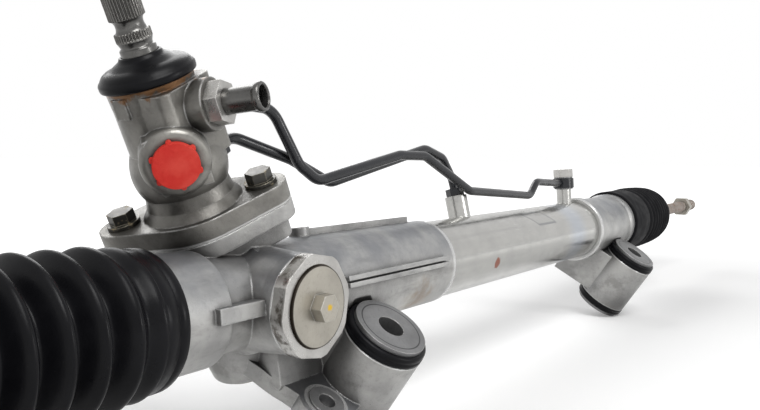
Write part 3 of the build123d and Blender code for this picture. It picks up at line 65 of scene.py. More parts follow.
# Places of the part, as the frame has them, in mm
NEAR_BALL = -181.0
FAR_BALL = 651.0
MOUNT_REACH = 46.5
NEAR_MOUNT = (56.5, -22.0)
FAR_MOUNT = (480.5, -27.5)
LUG_REACH = 53.0
PINION_BACK = 18
TUBE_RADIUS = 25
MOUNT_TILT = radians(34)
PINION_LEAN = radians(24.6)
ALONG = Vector((1, 0, 0))
UP = Vector((0, 0, 1))
GUIDE_WAY = Vector((0, -1, 0))
BOLT_WAY = Vector((0, -sin(MOUNT_TILT), cos(MOUNT_TILT)))
REACH_WAY = Vector((0, -cos(MOUNT_TILT), -sin(MOUNT_TILT)))
PINION_WAY = Vector((-sin(PINION_LEAN), 0, cos(PINION_LEAN)))
SIDE_WAY = Vector((cos(PINION_LEAN), 0, sin(PINION_LEAN)))
RACK_ORIGIN = (ALONG * -NEAR_MOUNT[0] - REACH_WAY * MOUNT_REACH + BOLT_WAY * -NEAR_MOUNT[1]) * MM
PINION_ORIGIN = RACK_ORIGIN + Vector((0, PINION_BACK, 0)) * MM


def rack_point(x, y=0.0, z=0.0):
    """Point given in mm from the rack's own origin."""
    return RACK_ORIGIN + Vector((x, y, z)) * MM


def tube_point(x, turn):
    """Point on the steel tube's skin, x mm along the rack and turned back from the top."""
    return rack_point(x, TUBE_RADIUS * sin(turn), TUBE_RADIUS * cos(turn))


def pinion_point(level, side=0.0, back=0.0):
    """Point given in mm from where the pinion axis passes the rack."""
    return PINION_ORIGIN + (PINION_WAY * level + SIDE_WAY * side + Vector((0, back, 0))) * MM


def mount_point(x, level, reach=MOUNT_REACH):
    """Point given in mm along a mount's own axis."""
    return rack_point(x) + (REACH_WAY * reach + BOLT_WAY * level) * MM


# Camera at the photograph's viewpoint
CAMERA_PLACE = Vector((-0.35087, -0.24509, 0.11709))
CAMERA_RIGHT = Vector((0.55752, -0.83011, 0.00934))
CAMERA_DOWN = Vector((-0.0525, -0.04648, -0.99754))
CAMERA_LENS = 39.115


def make_camera():
    """Sets the camera from its axes."""
    data = bpy.data.cameras.new("camera")
    data.lens = CAMERA_LENS
    data.sensor_width = 36.0
    data.sensor_fit = "HORIZONTAL"
    data.clip_start = 0.01
    data.clip_end = 50.0
    camera = bpy.data.objects.new("camera", data)
    bpy.context.collection.objects.link(camera)
    right = CAMERA_RIGHT.normalized()
    up = (-CAMERA_DOWN).normalized()
    back = right.cross(up).normalized()
    up = back.cross(right).normalized()
    turn = Matrix((right, up, back)).transposed()
    camera.matrix_world = Matrix.Translation(CAMERA_PLACE) @ turn.to_4x4()
    bpy.context.scene.camera = camera


# Small helpers for node trees
def new_tree(name):
    """A material with an empty tree."""
    material = bpy.data.materials.new(name)
    material.use_nodes = True
    material.node_tree.nodes.clear()
    return material, material.node_tree


def add(tree, kind, **values):
    """A node of that kind, with the values given for its settings."""
    node = tree.nodes.new(kind)
    for key, value in values.items():
        setattr(node, key, value)
    return node


def feed(tree, socket, value):
    """Links an output to a socket, or writes a plain value there."""
    if isinstance(value, bpy.types.NodeSocket):
        tree.links.new(value, socket)
        return
    if isinstance(value, (tuple, list)) and len(value) == 3 and len(socket.default_value) == 4:
        value = (*value, 1.0)
    socket.default_value = value


def place_of(tree):
    """Place on the object at rest, in metres."""
    return add(tree, "ShaderNodeTexCoord").outputs["Object"]


def scaled(tree, place, factors, shift=(0, 0, 0)):
    """Place stretched along the axes and shifted."""
    node = add(tree, "ShaderNodeMapping")
    feed(tree, node.inputs["Vector"], place)
    feed(tree, node.inputs["Scale"], factors)
    feed(tree, node.inputs["Location"], shift)
    return node.outputs["Vector"]


def noise(tree, place, scale, detail=4.0, roughness=0.55):
    """Smooth noise, features per metre."""
    node = add(tree, "ShaderNodeTexNoise")
    feed(tree, node.inputs["Vector"], place)
    feed(tree, node.inputs["Scale"], scale)
    feed(tree, node.inputs["Detail"], detail)
    feed(tree, node.inputs["Roughness"], roughness)
    return node.outputs["Fac"]


def step(tree, value, low, high, out_low=0.0, out_high=1.0):
    """Smooth step of a value between two levels."""
    node = add(tree, "ShaderNodeMapRange", interpolation_type="SMOOTHSTEP")
    feed(tree, node.inputs["Value"], value)
    feed(tree, node.inputs["From Min"], low)
    feed(tree, node.inputs["From Max"], high)
    feed(tree, node.inputs["To Min"], out_low)
    feed(tree, node.inputs["To Max"], out_high)
    return node.outputs["Result"]


def maths(tree, operation, first, second=0.0):
    """One sum on two values."""
    node = add(tree, "ShaderNodeMath", operation=operation)
    feed(tree, node.inputs[0], first)
    feed(tree, node.inputs[1], second)
    return node.outputs[0]


def blend_colours(tree, share, first, second, kind="MIX"):
    """Two colours mixed by a share."""
    node = add(tree, "ShaderNodeMix", data_type="RGBA", blend_type=kind)
    feed(tree, node.inputs["Factor"], share)
    feed(tree, node.inputs["A"], first)
    feed(tree, node.inputs["B"], second)
    return node.outputs["Result"]


def blend_values(tree, share, first, second):
    """Two numbers mixed by a share."""
    node = add(tree, "ShaderNodeMix", data_type="FLOAT")
    feed(tree, node.inputs["Factor"], share)
    feed(tree, node.inputs["A"], first)
    feed(tree, node.inputs["B"], second)
    return node.outputs["Result"]


def product(tree, first, second):
    """Two values multiplied."""
    return maths(tree, "MULTIPLY", first, second)


def soft_normal(tree, radius):
    """Normal rounded over the edges, as a casting or a turned piece has them."""
    soft = add(tree, "ShaderNodeBevel", samples=4)
    feed(tree, soft.inputs["Radius"], radius)
    return soft.outputs["Normal"]


def edge_share(tree, soft):
    """Rises to 1 on outer and inner edges, where a softened normal leaves the flat one."""
    flat = add(tree, "ShaderNodeNewGeometry")
    dot = add(tree, "ShaderNodeVectorMath", operation="DOT_PRODUCT")
    tree.links.new(soft, dot.inputs[0])
    tree.links.new(flat.outputs["Normal"], dot.inputs[1])
    return step(tree, dot.outputs["Value"], 0.97, 0.86)


def corner_shade(tree, distance=0.008, open_share=0.75, shut_share=0.25):
    """Rises to 1 in inner corners, where shade is painted."""
    node = add(tree, "ShaderNodeAmbientOcclusion", samples=8, only_local=False)
    feed(tree, node.inputs["Distance"], distance)
    return step(tree, node.outputs["AO"], open_share, shut_share)


def shifted(tree, place, origin):
    """Place counted from an origin."""
    node = add(tree, "ShaderNodeVectorMath", operation="SUBTRACT")
    feed(tree, node.inputs[0], place)
    node.inputs[1].default_value = origin
    return node.outputs[0]


def along_way(tree, place, origin, way):
    """Distance along a way from an origin, in metres."""
    dot = add(tree, "ShaderNodeVectorMath", operation="DOT_PRODUCT")
    tree.links.new(shifted(tree, place, origin), dot.inputs[0])
    dot.inputs[1].default_value = way
    return dot.outputs["Value"]


def from_axis(tree, place, origin, way):
    """Distance from an axis, in metres."""
    cross = add(tree, "ShaderNodeVectorMath", operation="CROSS_PRODUCT")
    tree.links.new(shifted(tree, place, origin), cross.inputs[0])
    cross.inputs[1].default_value = way
    size = add(tree, "ShaderNodeVectorMath", operation="LENGTH")
    tree.links.new(cross.outputs[0], size.inputs[0])
    return size.outputs["Value"]


def from_point(tree, place, origin):
    """Distance from a point, in metres."""
    node = add(tree, "ShaderNodeVectorMath", operation="DISTANCE")
    feed(tree, node.inputs[0], place)
    node.inputs[1].default_value = origin
    return node.outputs["Value"]


def spot(tree, place, origin, inner, outer, ragged=0.0, scale=120.0):
    """A patch round a point, with a ragged rim."""
    reach = from_point(tree, place, origin)
    if ragged:
        wander = maths(tree, "SUBTRACT", noise(tree, place, scale, 3.0), 0.5)
        reach = maths(tree, "ADD", reach, product(tree, wander, ragged))
    return step(tree, reach, inner, outer, 1.0, 0.0)


def band(tree, place, origin, way, low, high, soft=0.0004):
    """1 between two distances along a way."""
    reach = along_way(tree, place, origin, way)
    rise = step(tree, reach, low - soft, low + soft)
    fall = step(tree, reach, high - soft, high + soft, 1.0, 0.0)
    return product(tree, rise, fall)


def finish_surface(tree, colour, roughness, metallic, height, bump, depth, normal=None, specular=0.5):
    """Ends a tree with one surface shader. bump is the relief's strength, depth its height in metres."""
    shader = add(tree, "ShaderNodeBsdfPrincipled")
    feed(tree, shader.inputs["Base Color"], colour)
    feed(tree, shader.inputs["Roughness"], roughness)
    feed(tree, shader.inputs["Metallic"], metallic)
    feed(tree, shader.inputs["Specular IOR Level"], specular)
    relief = add(tree, "ShaderNodeBump")
    feed(tree, relief.inputs["Strength"], bump)
    feed(tree, relief.inputs["Distance"], depth)
    feed(tree, relief.inputs["Height"], height)
    if normal is not None:
        tree.links.new(normal, relief.inputs["Normal"])
    tree.links.new(relief.outputs["Normal"], shader.inputs["Normal"])
    out = add(tree, "ShaderNodeOutputMaterial")
    tree.links.new(shader.outputs["BSDF"], out.inputs["Surface"])


def upper_share(tree):
    """Rises towards 1 on faces that look up, where a darker bluish reflection is painted."""
    normal = add(tree, "ShaderNodeNewGeometry").outputs["Normal"]
    parts = add(tree, "ShaderNodeSeparateXYZ")
    tree.links.new(normal, parts.inputs[0])
    return step(tree, parts.outputs["Z"], -0.1, 0.75)


CUT_METAL = (0.62, 0.62, 0.61)
WORN_CASTING = (0.72, 0.72, 0.71)
CAST_METALLIC = 0.6


def cast_metal(name, clean, dull, grime_and_shade, stain, machined=(), brown=(), upper_shade=None):
    """Cast light metal: sandy skin, dull patches, painted shade in corners and hollows, bright worn edges and
    machined bands.

    machined is functions that take the tree and the place and give a share. brown pairs such functions
    with colours. The last argument is the colour painted on faces that look up, as a darker bluish
    reflection."""
    material, tree = new_tree(name)
    place = place_of(tree)
    cloud = step(tree, noise(tree, place, 26.0, 5.0, 0.6), 0.35, 0.68)
    colour = blend_colours(tree, cloud, clean, dull)
    speckle = step(tree, noise(tree, place, 420.0, 3.0, 0.7), 0.52, 0.78, 0.0, 0.3)
    colour = blend_colours(tree, speckle, colour, stain)
    streaks = noise(tree, scaled(tree, place, (14.0, 60.0, 60.0)), 1.0, 5.0, 0.65)
    colour = blend_colours(tree, step(tree, streaks, 0.5, 0.7, 0.0, 0.55), colour, stain)
    pits = step(tree, noise(tree, place, 900.0, 2.0, 0.6), 0.70, 0.76, 0.0, 0.4)
    colour = blend_colours(tree, pits, colour, grime_and_shade)
    soft = soft_normal(tree, 0.0012)
    bright = product(tree, edge_share(tree, soft), step(tree, noise(tree, place, 160.0, 3.0), 0.35, 0.6))
    # Painted shade in inner corners, made patchy by noise.
    corner_shade_and_grime = product(tree, corner_shade(tree), step(tree, noise(tree, place, 60.0, 4.0), 0.3, 0.6, 0.35, 1.0))
    # Painted darker bluish reflection on faces that look up, in patches.
    if upper_shade is not None:
        patches = step(tree, noise(tree, place, 34.0, 4.0), 0.3, 0.6, 0.3, 0.8)
        colour = blend_colours(tree, product(tree, upper_share(tree), patches), colour, upper_shade)
    # Painted shade: a wider soft darkening in the hollows.
    painted_hollow_shade = product(tree, corner_shade(tree, 0.035, 0.95, 0.45), 0.62)
    colour = blend_colours(tree, painted_hollow_shade, colour, grime_and_shade)
    colour = blend_colours(tree, product(tree, bright, 0.6), colour, WORN_CASTING)
    colour = blend_colours(tree, product(tree, corner_shade_and_grime, 0.8), colour, grime_and_shade)
    roughness = step(tree, noise(tree, place, 80.0, 4.0), 0.3, 0.7, 0.30, 0.44)
    shares = [share(tree, place) for share in machined]
    cut = shares[0]
    for share in shares[1:]:
        cut = maths(tree, "MAXIMUM", cut, share)
    colour = blend_colours(tree, product(tree, cut, 0.7), colour, CUT_METAL)
    roughness = blend_values(tree, cut, roughness, 0.26)
    for share, tint in brown:
        colour = blend_colours(tree, share(tree, place), colour, tint)
    skin = noise(tree, place, 950.0, 3.0, 0.7)
    lumps = noise(tree, place, 170.0, 3.0, 0.5)
    height = maths(tree, "ADD", skin, product(tree, lumps, 1.6))
    height = product(tree, height, step(tree, cut, 0.0, 1.0, 1.0, 0.12))
    finish_surface(tree, colour, roughness, CAST_METALLIC, height, 0.35, 0.0003, soft)
    return material


# Colour of the painted shade in inner corners.
HOLLOW_SHADE = (0.02, 0.018, 0.016)
SCRATCH_WHITE = (0.85, 0.85, 0.85)
PALE_WORN = (0.62, 0.61, 0.58)


def bare_metal(name, clean, dark, rust=None, rust_share=0.0, roughness=(0.22, 0.38), turned_way=None,
               scratches=0.0, metallic=0.9, clouding=0.8, spots=(), worn=PALE_WORN, specular=0.5,
               hollow_shade=0.8, relief=0.12):
    """Bare or plated metal with drawn or turned marks, small rust specks, worn edges and painted shade in
    inner corners.
    """
    material, tree = new_tree(name)
    place = place_of(tree)
    cloud = step(tree, noise(tree, place, 45.0, 5.0, 0.6), 0.3, 0.8, 0.0, clouding)
    colour = blend_colours(tree, cloud, clean, dark)
    fine = noise(tree, place, 700.0, 3.0, 0.6)
    colour = blend_colours(tree, step(tree, fine, 0.5, 0.75, 0.0, 0.4), colour, dark)
    gloss = step(tree, noise(tree, place, 120.0, 4.0), 0.3, 0.7, roughness[0], roughness[1])
    height = fine
    if turned_way is not None:
        marks = noise(tree, scaled(tree, place, turned_way), 1.0, 3.0, 0.6)
        height = maths(tree, "ADD", height, marks)
        colour = blend_colours(tree, step(tree, marks, 0.45, 0.7, 0.0, 0.25), colour, dark)
    if scratches:
        fibres = noise(tree, scaled(tree, place, (60.0, 1500.0, 1500.0)), 1.0, 2.0, 0.6)
        line = step(tree, fibres, 0.66, 0.72, 0.0, scratches)
        colour = blend_colours(tree, line, colour, SCRATCH_WHITE)
    soft = soft_normal(tree, 0.0006)
    # Painted shade in inner corners.
    if hollow_shade:
        colour = blend_colours(tree, product(tree, corner_shade(tree, 0.006), hollow_shade), colour, HOLLOW_SHADE)
    colour = blend_colours(tree, product(tree, edge_share(tree, soft), 0.55), colour, worn)
    if rust is not None:
        patch = step(tree, noise(tree, place, 190.0, 5.0, 0.7), 0.72 - rust_share, 0.80 - rust_share * 0.6)
        colour = blend_colours(tree, patch, colour, rust)
        gloss = blend_values(tree, patch, gloss, 0.75)
    for share, tint in spots:
        colour = blend_colours(tree, share(tree, place), colour, tint)
    finish_surface(tree, colour, gloss, metallic, height, relief, 0.0002, soft, specular)
    return material


def rubber(name, base, dusty, gloss=(0.26, 0.40), specular=0.11):
    """Moulded black rubber with a satin skin, faint dust and fine grain."""
    material, tree = new_tree(name)
    place = place_of(tree)
    cloud = step(tree, noise(tree, place, 40.0, 5.0, 0.6), 0.4, 0.75)
    colour = blend_colours(tree, product(tree, cloud, 0.3), base, dusty)
    specks = step(tree, noise(tree, place, 800.0, 2.0), 0.68, 0.74, 0.0, 0.4)
    colour = blend_colours(tree, specks, colour, dusty)
    roughness = step(tree, noise(tree, place, 95.0, 4.0), 0.3, 0.7, gloss[0], gloss[1])
    grain = maths(tree, "ADD", noise(tree, place, 1400.0, 2.0), noise(tree, place, 220.0, 3.0))
    finish_surface(tree, colour, roughness, 0.0, grain, 0.16, 0.00015, specular=specular)
    return material


def plastic(name, base, worn, gloss=(0.35, 0.5), relief=0.15):
    """Moulded plastic with slight shade changes and worn edges."""
    material, tree = new_tree(name)
    place = place_of(tree)
    colour = blend_colours(tree, step(tree, noise(tree, place, 90.0, 4.0), 0.35, 0.7, 0.0, 0.7), base, worn)
    soft = soft_normal(tree, 0.0006)
    colour = blend_colours(tree, product(tree, edge_share(tree, soft), 0.35), colour, worn)
    roughness = step(tree, noise(tree, place, 150.0, 3.0), 0.3, 0.7, gloss[0], gloss[1])
    finish_surface(tree, colour, roughness, 0.0, noise(tree, place, 500.0, 3.0), relief, 0.0003, soft, 0.3)
    return material


def rack_band(low, high):
    """Gives the share of a band between two distances along the rack, in metres."""
    def share(tree, place):
        return band(tree, place, rack_point(0), ALONG, low, high)
    return share


# Machined bands round the castings and the steel tube's end
near_rim = rack_band(-0.069, -0.0665)
tube_seam = rack_band(0.1535, 0.160)
tube_collar = rack_band(0.4235, 0.4275)
far_rim = rack_band(0.514, 0.5215)


# Machined faces and stains. Distances are in metres, points in mm.
def guide_face(tree, place):
    """Face of the boss under the lock nut."""
    reach = along_way(tree, place, rack_point(0), GUIDE_WAY)
    near = spot(tree, place, rack_point(0, -34, 0), inner=0.027, outer=0.029)
    return product(tree, step(tree, reach, 0.0318, 0.0325), near)


def near_bush_faces(tree, place):
    """Ends of the near bush boss."""
    return bush_faces(tree, place, *NEAR_MOUNT)


def far_bush_faces(tree, place):
    """Ends of the far bush boss."""
    return bush_faces(tree, place, *FAR_MOUNT)


def bush_faces(tree, place, x, level):
    """Both end faces of one mount boss."""
    centre = mount_point(x, level)
    reach = maths(tree, "ABSOLUTE", along_way(tree, place, centre, BOLT_WAY))
    return product(tree, step(tree, reach, 0.0213, 0.0221), spot(tree, place, centre, 0.034, 0.036))


def lug_face(tree, place):
    """Upper face round the lug's insert."""
    centre = mount_point(21.5, -26.0, LUG_REACH)
    reach = along_way(tree, place, centre, BOLT_WAY)
    return product(tree, step(tree, reach, -0.0016, -0.001), spot(tree, place, centre, 0.0115, 0.0125))


def flange_joint(tree, place):
    """Cut faces along the joint of the two castings."""
    return band(tree, place, pinion_point(0), PINION_WAY, 0.0385, 0.0413)


def grease(tree, place):
    """Brown grease below the lock nut, in the web beside the lug and under the rails."""
    first = spot(tree, place, rack_point(4, -28, -25), 0.002, 0.013, ragged=0.016, scale=180.0)
    second = spot(tree, place, rack_point(26, -38, -18), 0.001, 0.011, ragged=0.014, scale=200.0)
    third = spot(tree, place, rack_point(120, -22, -18), 0.001, 0.02, ragged=0.03, scale=160.0)
    patches = maths(tree, "MAXIMUM", first, maths(tree, "MAXIMUM", second, third))
    return product(tree, patches, 0.6)


def tower_oil(tree, place):
    """Brown oil and rust that crept from under the dust cap."""
    level = along_way(tree, place, pinion_point(0), PINION_WAY)
    wander = product(tree, maths(tree, "SUBTRACT", noise(tree, place, 130.0, 4.0, 0.65), 0.5), 0.014)
    return step(tree, maths(tree, "ADD", level, wander), 0.1085, 0.1105, 0.0, 0.9)


def tower_side_shade(tree, place):
    """Painted dark shade low on the valve housing's side."""
    low = spot(tree, place, pinion_point(62, -16, -12), 0.004, 0.022, ragged=0.02, scale=90.0)
    return product(tree, low, 0.45)


def red_dot(tree, place):
    """Small paint dot on the steel tube."""
    return spot(tree, place, tube_point(220, radians(-103.5)), 0.0034, 0.0044, ragged=0.0042, scale=380.0)


def blue_reflection_band(tree, place):
    """Faint painted blue reflection in a band near the middle of the tube."""
    return product(tree, band(tree, place, rack_point(0), ALONG, 0.36, 0.39, 0.012), 0.25)


def bare_panel(tree, place):
    """Faint bare panel with slanted ends on the tube's front."""
    turn = radians(-39)
    centre = tube_point(310, turn)
    around = Vector((0, cos(turn), -sin(turn)))
    climb = along_way(tree, place, centre, around)
    slide = along_way(tree, place, centre, ALONG)
    slant = maths(tree, "ADD", slide, product(tree, climb, 1.1))
    outer = panel(tree, slant, climb, 0.0175, 0.0075)
    inner = panel(tree, slant, climb, 0.0155, 0.0057)
    edge = maths(tree, "SUBTRACT", outer, inner)
    facing = step(tree, from_point(tree, place, centre), 0.024, 0.026, 1.0, 0.0)
    shade = maths(tree, "ADD", product(tree, edge, 0.8), product(tree, inner, 0.15))
    return product(tree, shade, facing)


def panel(tree, first, second, half_first, half_second):
    """1 inside a box of two distances."""
    soft = 0.0003
    one = step(tree, maths(tree, "ABSOLUTE", first), half_first - soft, half_first + soft, 1.0, 0.0)
    two = step(tree, maths(tree, "ABSOLUTE", second), half_second - soft, half_second + soft, 1.0, 0.0)
    return product(tree, one, two)


def yellow_dab(tree, place):
    """Paint dab on the plug's hexagon."""
    return spot(tree, place, rack_point(0, -47.6, 0.5), 0.0009, 0.0023, ragged=0.0036, scale=420.0)


def ring_share(tree, place, origin, way, middle, half, soft=0.0002):
    """1 on a ring of that radius round an axis."""
    off = maths(tree, "ABSOLUTE", maths(tree, "SUBTRACT", from_axis(tree, place, origin, way), middle))
    return step(tree, off, half - soft, half + soft, 1.0, 0.0)


def plug_ring(tree, place):
    """Dark oily joint between the plug and its lock nut, and dirt on the nut's flats."""
    joint = ring_share(tree, place, rack_point(0), Vector((0, 1, 0)), 0.0191, 0.0005)
    reach = along_way(tree, place, rack_point(0), GUIDE_WAY)
    nut_side = product(tree, step(tree, reach, 0.0398, 0.0388), step(tree, reach, 0.030, 0.031))
    flats = product(tree, nut_side, step(tree, noise(tree, place, 210.0, 4.0), 0.42, 0.62, 0.0, 0.85))
    front = product(tree, joint, step(tree, reach, 0.038, 0.0385))
    return maths(tree, "MAXIMUM", front, flats)


def disc_steps(tree, place):
    """Dark line on the bush discs where their inner collar starts."""
    near = ring_share(tree, place, mount_point(NEAR_MOUNT[0], 0), BOLT_WAY, 0.0168, 0.00035)
    far = ring_share(tree, place, mount_point(FAR_MOUNT[0], 0), BOLT_WAY, 0.0168, 0.00035)
    return product(tree, maths(tree, "MAXIMUM", near, far), 0.85)


STAIN_BROWN = (0.20, 0.13, 0.06)
OIL_BROWN = (0.14, 0.062, 0.018)
# Colour of the painted darker bluish reflection on faces that look up.
UPPER_REFLECTION_SHADE = (0.15, 0.158, 0.175)
# Colour of the painted shade low on the valve housing's side.
PAINTED_SIDE_SHADE = (0.04, 0.036, 0.032)
DOT_RED = (0.26, 0.075, 0.04)
# Colour of the painted blue reflection on the steel tube.
REFLECTION_BLUE = (0.42, 0.52, 0.70)
PANEL_GREY = (0.20, 0.205, 0.21)
DAB_YELLOW = (0.62, 0.40, 0.03)
SURFACES = {
    "cast_aluminium": cast_metal(
        "cast light metal", clean=(0.46, 0.455, 0.44), dull=(0.30, 0.298, 0.292), grime_and_shade=(0.035, 0.033, 0.032),
        stain=(0.17, 0.165, 0.158), brown=((grease, STAIN_BROWN),), upper_shade=UPPER_REFLECTION_SHADE,
        machined=(near_rim, guide_face, near_bush_faces, far_bush_faces, lug_face, tube_seam, far_rim,
                  tube_collar)),
    "tower_casting": cast_metal(
        "valve housing metal", clean=(0.25, 0.242, 0.222), dull=(0.125, 0.12, 0.11),
        grime_and_shade=(0.018, 0.016, 0.014), stain=(0.085, 0.078, 0.068), machined=(flange_joint,),
        brown=((tower_oil, OIL_BROWN), (tower_side_shade, PAINTED_SIDE_SHADE))),
    "bright_steel": bare_metal(
        "drawn steel", clean=(0.45, 0.445, 0.425), dark=(0.30, 0.298, 0.29), roughness=(0.16, 0.26),
        turned_way=(6.0, 260.0, 260.0), scratches=0.2, clouding=0.45, metallic=0.85, hollow_shade=0.0, relief=0.05,
        spots=((red_dot, DOT_RED), (blue_reflection_band, REFLECTION_BLUE), (bare_panel, PANEL_GREY))),
    "grey_steel": bare_metal(
        "turned grey steel", clean=(0.22, 0.22, 0.222), dark=(0.12, 0.12, 0.122), rust=(0.14, 0.09, 0.06),
        roughness=(0.32, 0.46), metallic=0.7, spots=((disc_steps, (0.015, 0.015, 0.016)),)),
    "dark_steel": bare_metal(
        "oiled dark steel", clean=(0.125, 0.123, 0.118), dark=(0.06, 0.058, 0.056), rust=(0.12, 0.07, 0.04),
        roughness=(0.22, 0.36), metallic=0.85, worn=(0.30, 0.29, 0.27)),
    "dark_bolt": bare_metal(
        "blackened bolts", clean=(0.085, 0.08, 0.07), dark=(0.03, 0.03, 0.03), rust=(0.36, 0.30, 0.19),
        rust_share=0.16, roughness=(0.26, 0.42), metallic=0.75, worn=(0.40, 0.36, 0.27)),
    "zinc_steel": bare_metal(
        "dull zinc", clean=(0.40, 0.375, 0.325), dark=(0.25, 0.235, 0.205), rust=(0.19, 0.105, 0.045),
        roughness=(0.30, 0.44), metallic=0.7, clouding=0.7,
        spots=((yellow_dab, DAB_YELLOW), (plug_ring, (0.03, 0.024, 0.018)))),
    "rusty_steel": bare_metal(
        "rusty rod steel", clean=(0.30, 0.26, 0.23), dark=(0.18, 0.15, 0.13), rust=(0.20, 0.095, 0.045),
        rust_share=0.20, roughness=(0.42, 0.6), metallic=0.6),
    "black_tube": bare_metal(
        "blue black tube", clean=(0.010, 0.011, 0.014), dark=(0.005, 0.005, 0.006), roughness=(0.20, 0.30),
        metallic=0.0, clouding=0.3, worn=(0.06, 0.06, 0.065), specular=0.4),
    "black_rubber": rubber("satin rubber", base=(0.004, 0.004, 0.005), dusty=(0.014, 0.014, 0.016)),
    "seal_plastic": plastic("seal plastic", base=(0.30, 0.26, 0.20), worn=(0.40, 0.35, 0.28)),
    "red_plastic": plastic("red cap plastic", base=(0.60, 0.022, 0.014), worn=(0.72, 0.075, 0.05),
                           gloss=(0.42, 0.6), relief=0.6),
}
MATT_RUBBER = rubber("matt rubber", base=(0.006, 0.006, 0.007), dusty=(0.014, 0.014, 0.016),
                     gloss=(0.62, 0.8), specular=0.1)
BRIGHT_PLATING = bare_metal(
    "worn bright plating", clean=(0.52, 0.51, 0.49), dark=(0.30, 0.29, 0.275), rust=(0.16, 0.10, 0.06),
    roughness=(0.24, 0.38), metallic=0.75, spots=((plug_ring, (0.05, 0.038, 0.026)),))
PLATED_NODES = ("guide_lock_nut", "banjo_bolt", "return_union_nut")


def dress_cad_nodes():
    """Gives every CAD node its material."""
    slots = {entry["node"]: entry["material_slot"] for entry in frame["record"]["subparts"]}
    for name, obj in frame["nodes"].items():
        material = BRIGHT_PLATING if name in PLATED_NODES else SURFACES[slots[name]]
        if not obj.material_slots:
            obj.data.materials.append(material)
        for place in obj.material_slots:
            place.material = material


# Pieces built from rings of points
def skinned_rings(name, rings, material, closed=False, rounded=None):
    """A mesh through rings of points. closed joins the last ring to the first; otherwise both ends get a cap.

    rounded says for each row of faces whether it's shaded smooth, and without it all rows are."""
    mesh = bpy.data.meshes.new(name)
    bm = bmesh.new()
    loops = [[bm.verts.new(point) for point in ring] for ring in rings]
    pairs = list(zip(loops, loops[1:]))
    if closed:
        pairs.append((loops[-1], loops[0]))
    for row, (first, second) in enumerate(pairs):
        for index in range(len(first)):
            after = (index + 1) % len(first)
            face = bm.faces.new((first[index], first[after], second[after], second[index]))
            face.smooth = rounded is None or rounded[row]
    if not closed:
        bm.faces.new(loops[0])
        bm.faces.new(loops[-1])
    bmesh.ops.recalc_face_normals(bm, faces=bm.faces)
    bm.to_mesh(mesh)
    bm.free()
    obj = bpy.data.objects.new(name, mesh)
    bpy.context.collection.objects.link(obj)
    mesh.materials.append(material)
    return obj


def turned_piece(name, centre, way, up, profile, material, segments=96):
    """A mesh turned round a way. profile is a closed line of (distance along, radius) in mm."""
    side = way.cross(up).normalized()
    rings = []
    for reach, radius in profile:
        ring = []
        for index in range(segments):
            angle = 2 * pi * index / segments
            spoke = up * cos(angle) + side * sin(angle)
            ring.append(centre + (way * reach + spoke * radius) * MM)
        rings.append(ring)
    return skinned_rings(name, rings, material, closed=True)


make_camera()
dress_cad_nodes()

# Boots: each is three turned pieces
RUBBER = SURFACES["black_rubber"]
BOOT_SEGMENTS = 128
BOOT_WALL = 1.6
FOLD_PARTS = 8
NECK_RADIUS = 10.0
NECK_BORE = 6.55
NECK_START = 52.0
NECK_END = 62.0
BEND_START = {"near": 24.0, "far": 19.0}


def rounded_profile(stations, fullness):
    """Smooth line through crests and valleys, each given as (distance, radius).

    A fullness below 1 makes the crests broad and the valleys tight."""
    points = [stations[0]]
    for (start, first), (end, last) in zip(stations, stations[1:]):
        low = min(first, last)
        high = max(first, last)
        for part in range(1, FOLD_PARTS + 1):
            share = part / FOLD_PARTS
            climb = share if last > first else 1 - share
            lift = (0.5 - 0.5 * cos(pi * climb)) ** fullness
            points.append((start + (end - start) * share, low + (high - low) * lift))
    return points


def cut_profile(points, low, high):
    """Part of a line between two distances, with points on the cuts."""
    margin = 0.05

    def radius_at(reach):
        for (start, first), (end, second) in zip(points, points[1:]):
            if start <= reach <= end and end > start:
                return first + (second - first) * (reach - start) / (end - start)
        return points[-1][1] if reach >= points[-1][0] else points[0][1]

    inside = [(reach, radius) for reach, radius in points if low + margin < reach < high - margin]
    return [(low, radius_at(low))] + inside + [(high, radius_at(high))]


def folded_boot(side, ball, lip, collar, folds, fullness, seat_radius, pinch_end):
    """Boot from the housing to a tie rod. Distances run outwards from the lip, in mm."""
    way = ALONG * (-1 if side == "near" else 1)
    centre = rack_point(lip)
    reach_of_ball = abs(ball - lip)
    neck_start = reach_of_ball + NECK_START
    neck_end = reach_of_ball + NECK_END
    bend_start = reach_of_ball + BEND_START[side]
    outer = collar + rounded_profile(folds, fullness)
    outer += [(neck_start + 1.5, NECK_RADIUS + 0.2), (neck_start + 2.4, NECK_RADIUS)]
    outer += [(neck_end - 1.5, NECK_RADIUS), (neck_end - 0.6, NECK_RADIUS + 0.5), (neck_end, NECK_RADIUS)]
    last_collar = collar[-1][0]
    skin = RUBBER if side == "near" else MATT_RUBBER
    pieces = []
    cuts = (0.0, pinch_end, bend_start, neck_end)
    names = ("folds", "waist", "neck")
    for name, low, high in zip(names, cuts, cuts[1:]):
        line = cut_profile(outer, low, high)
        inner = []
        for reach, radius in reversed(line):
            if reach < last_collar - 1.5:
                inner.append((reach, seat_radius))
            elif reach > neck_start + 1.5:
                inner.append((reach, NECK_BORE))
            else:
                inner.append((reach, radius - BOOT_WALL))
        piece = turned_piece(f"{side}_boot_{name}", centre, way, UP, line + inner, skin, BOOT_SEGMENTS)
        pieces.append(piece)
    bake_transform(pieces[0])
    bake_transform(pieces[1])
    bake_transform(pieces[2])
    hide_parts(f"{side}_boot")


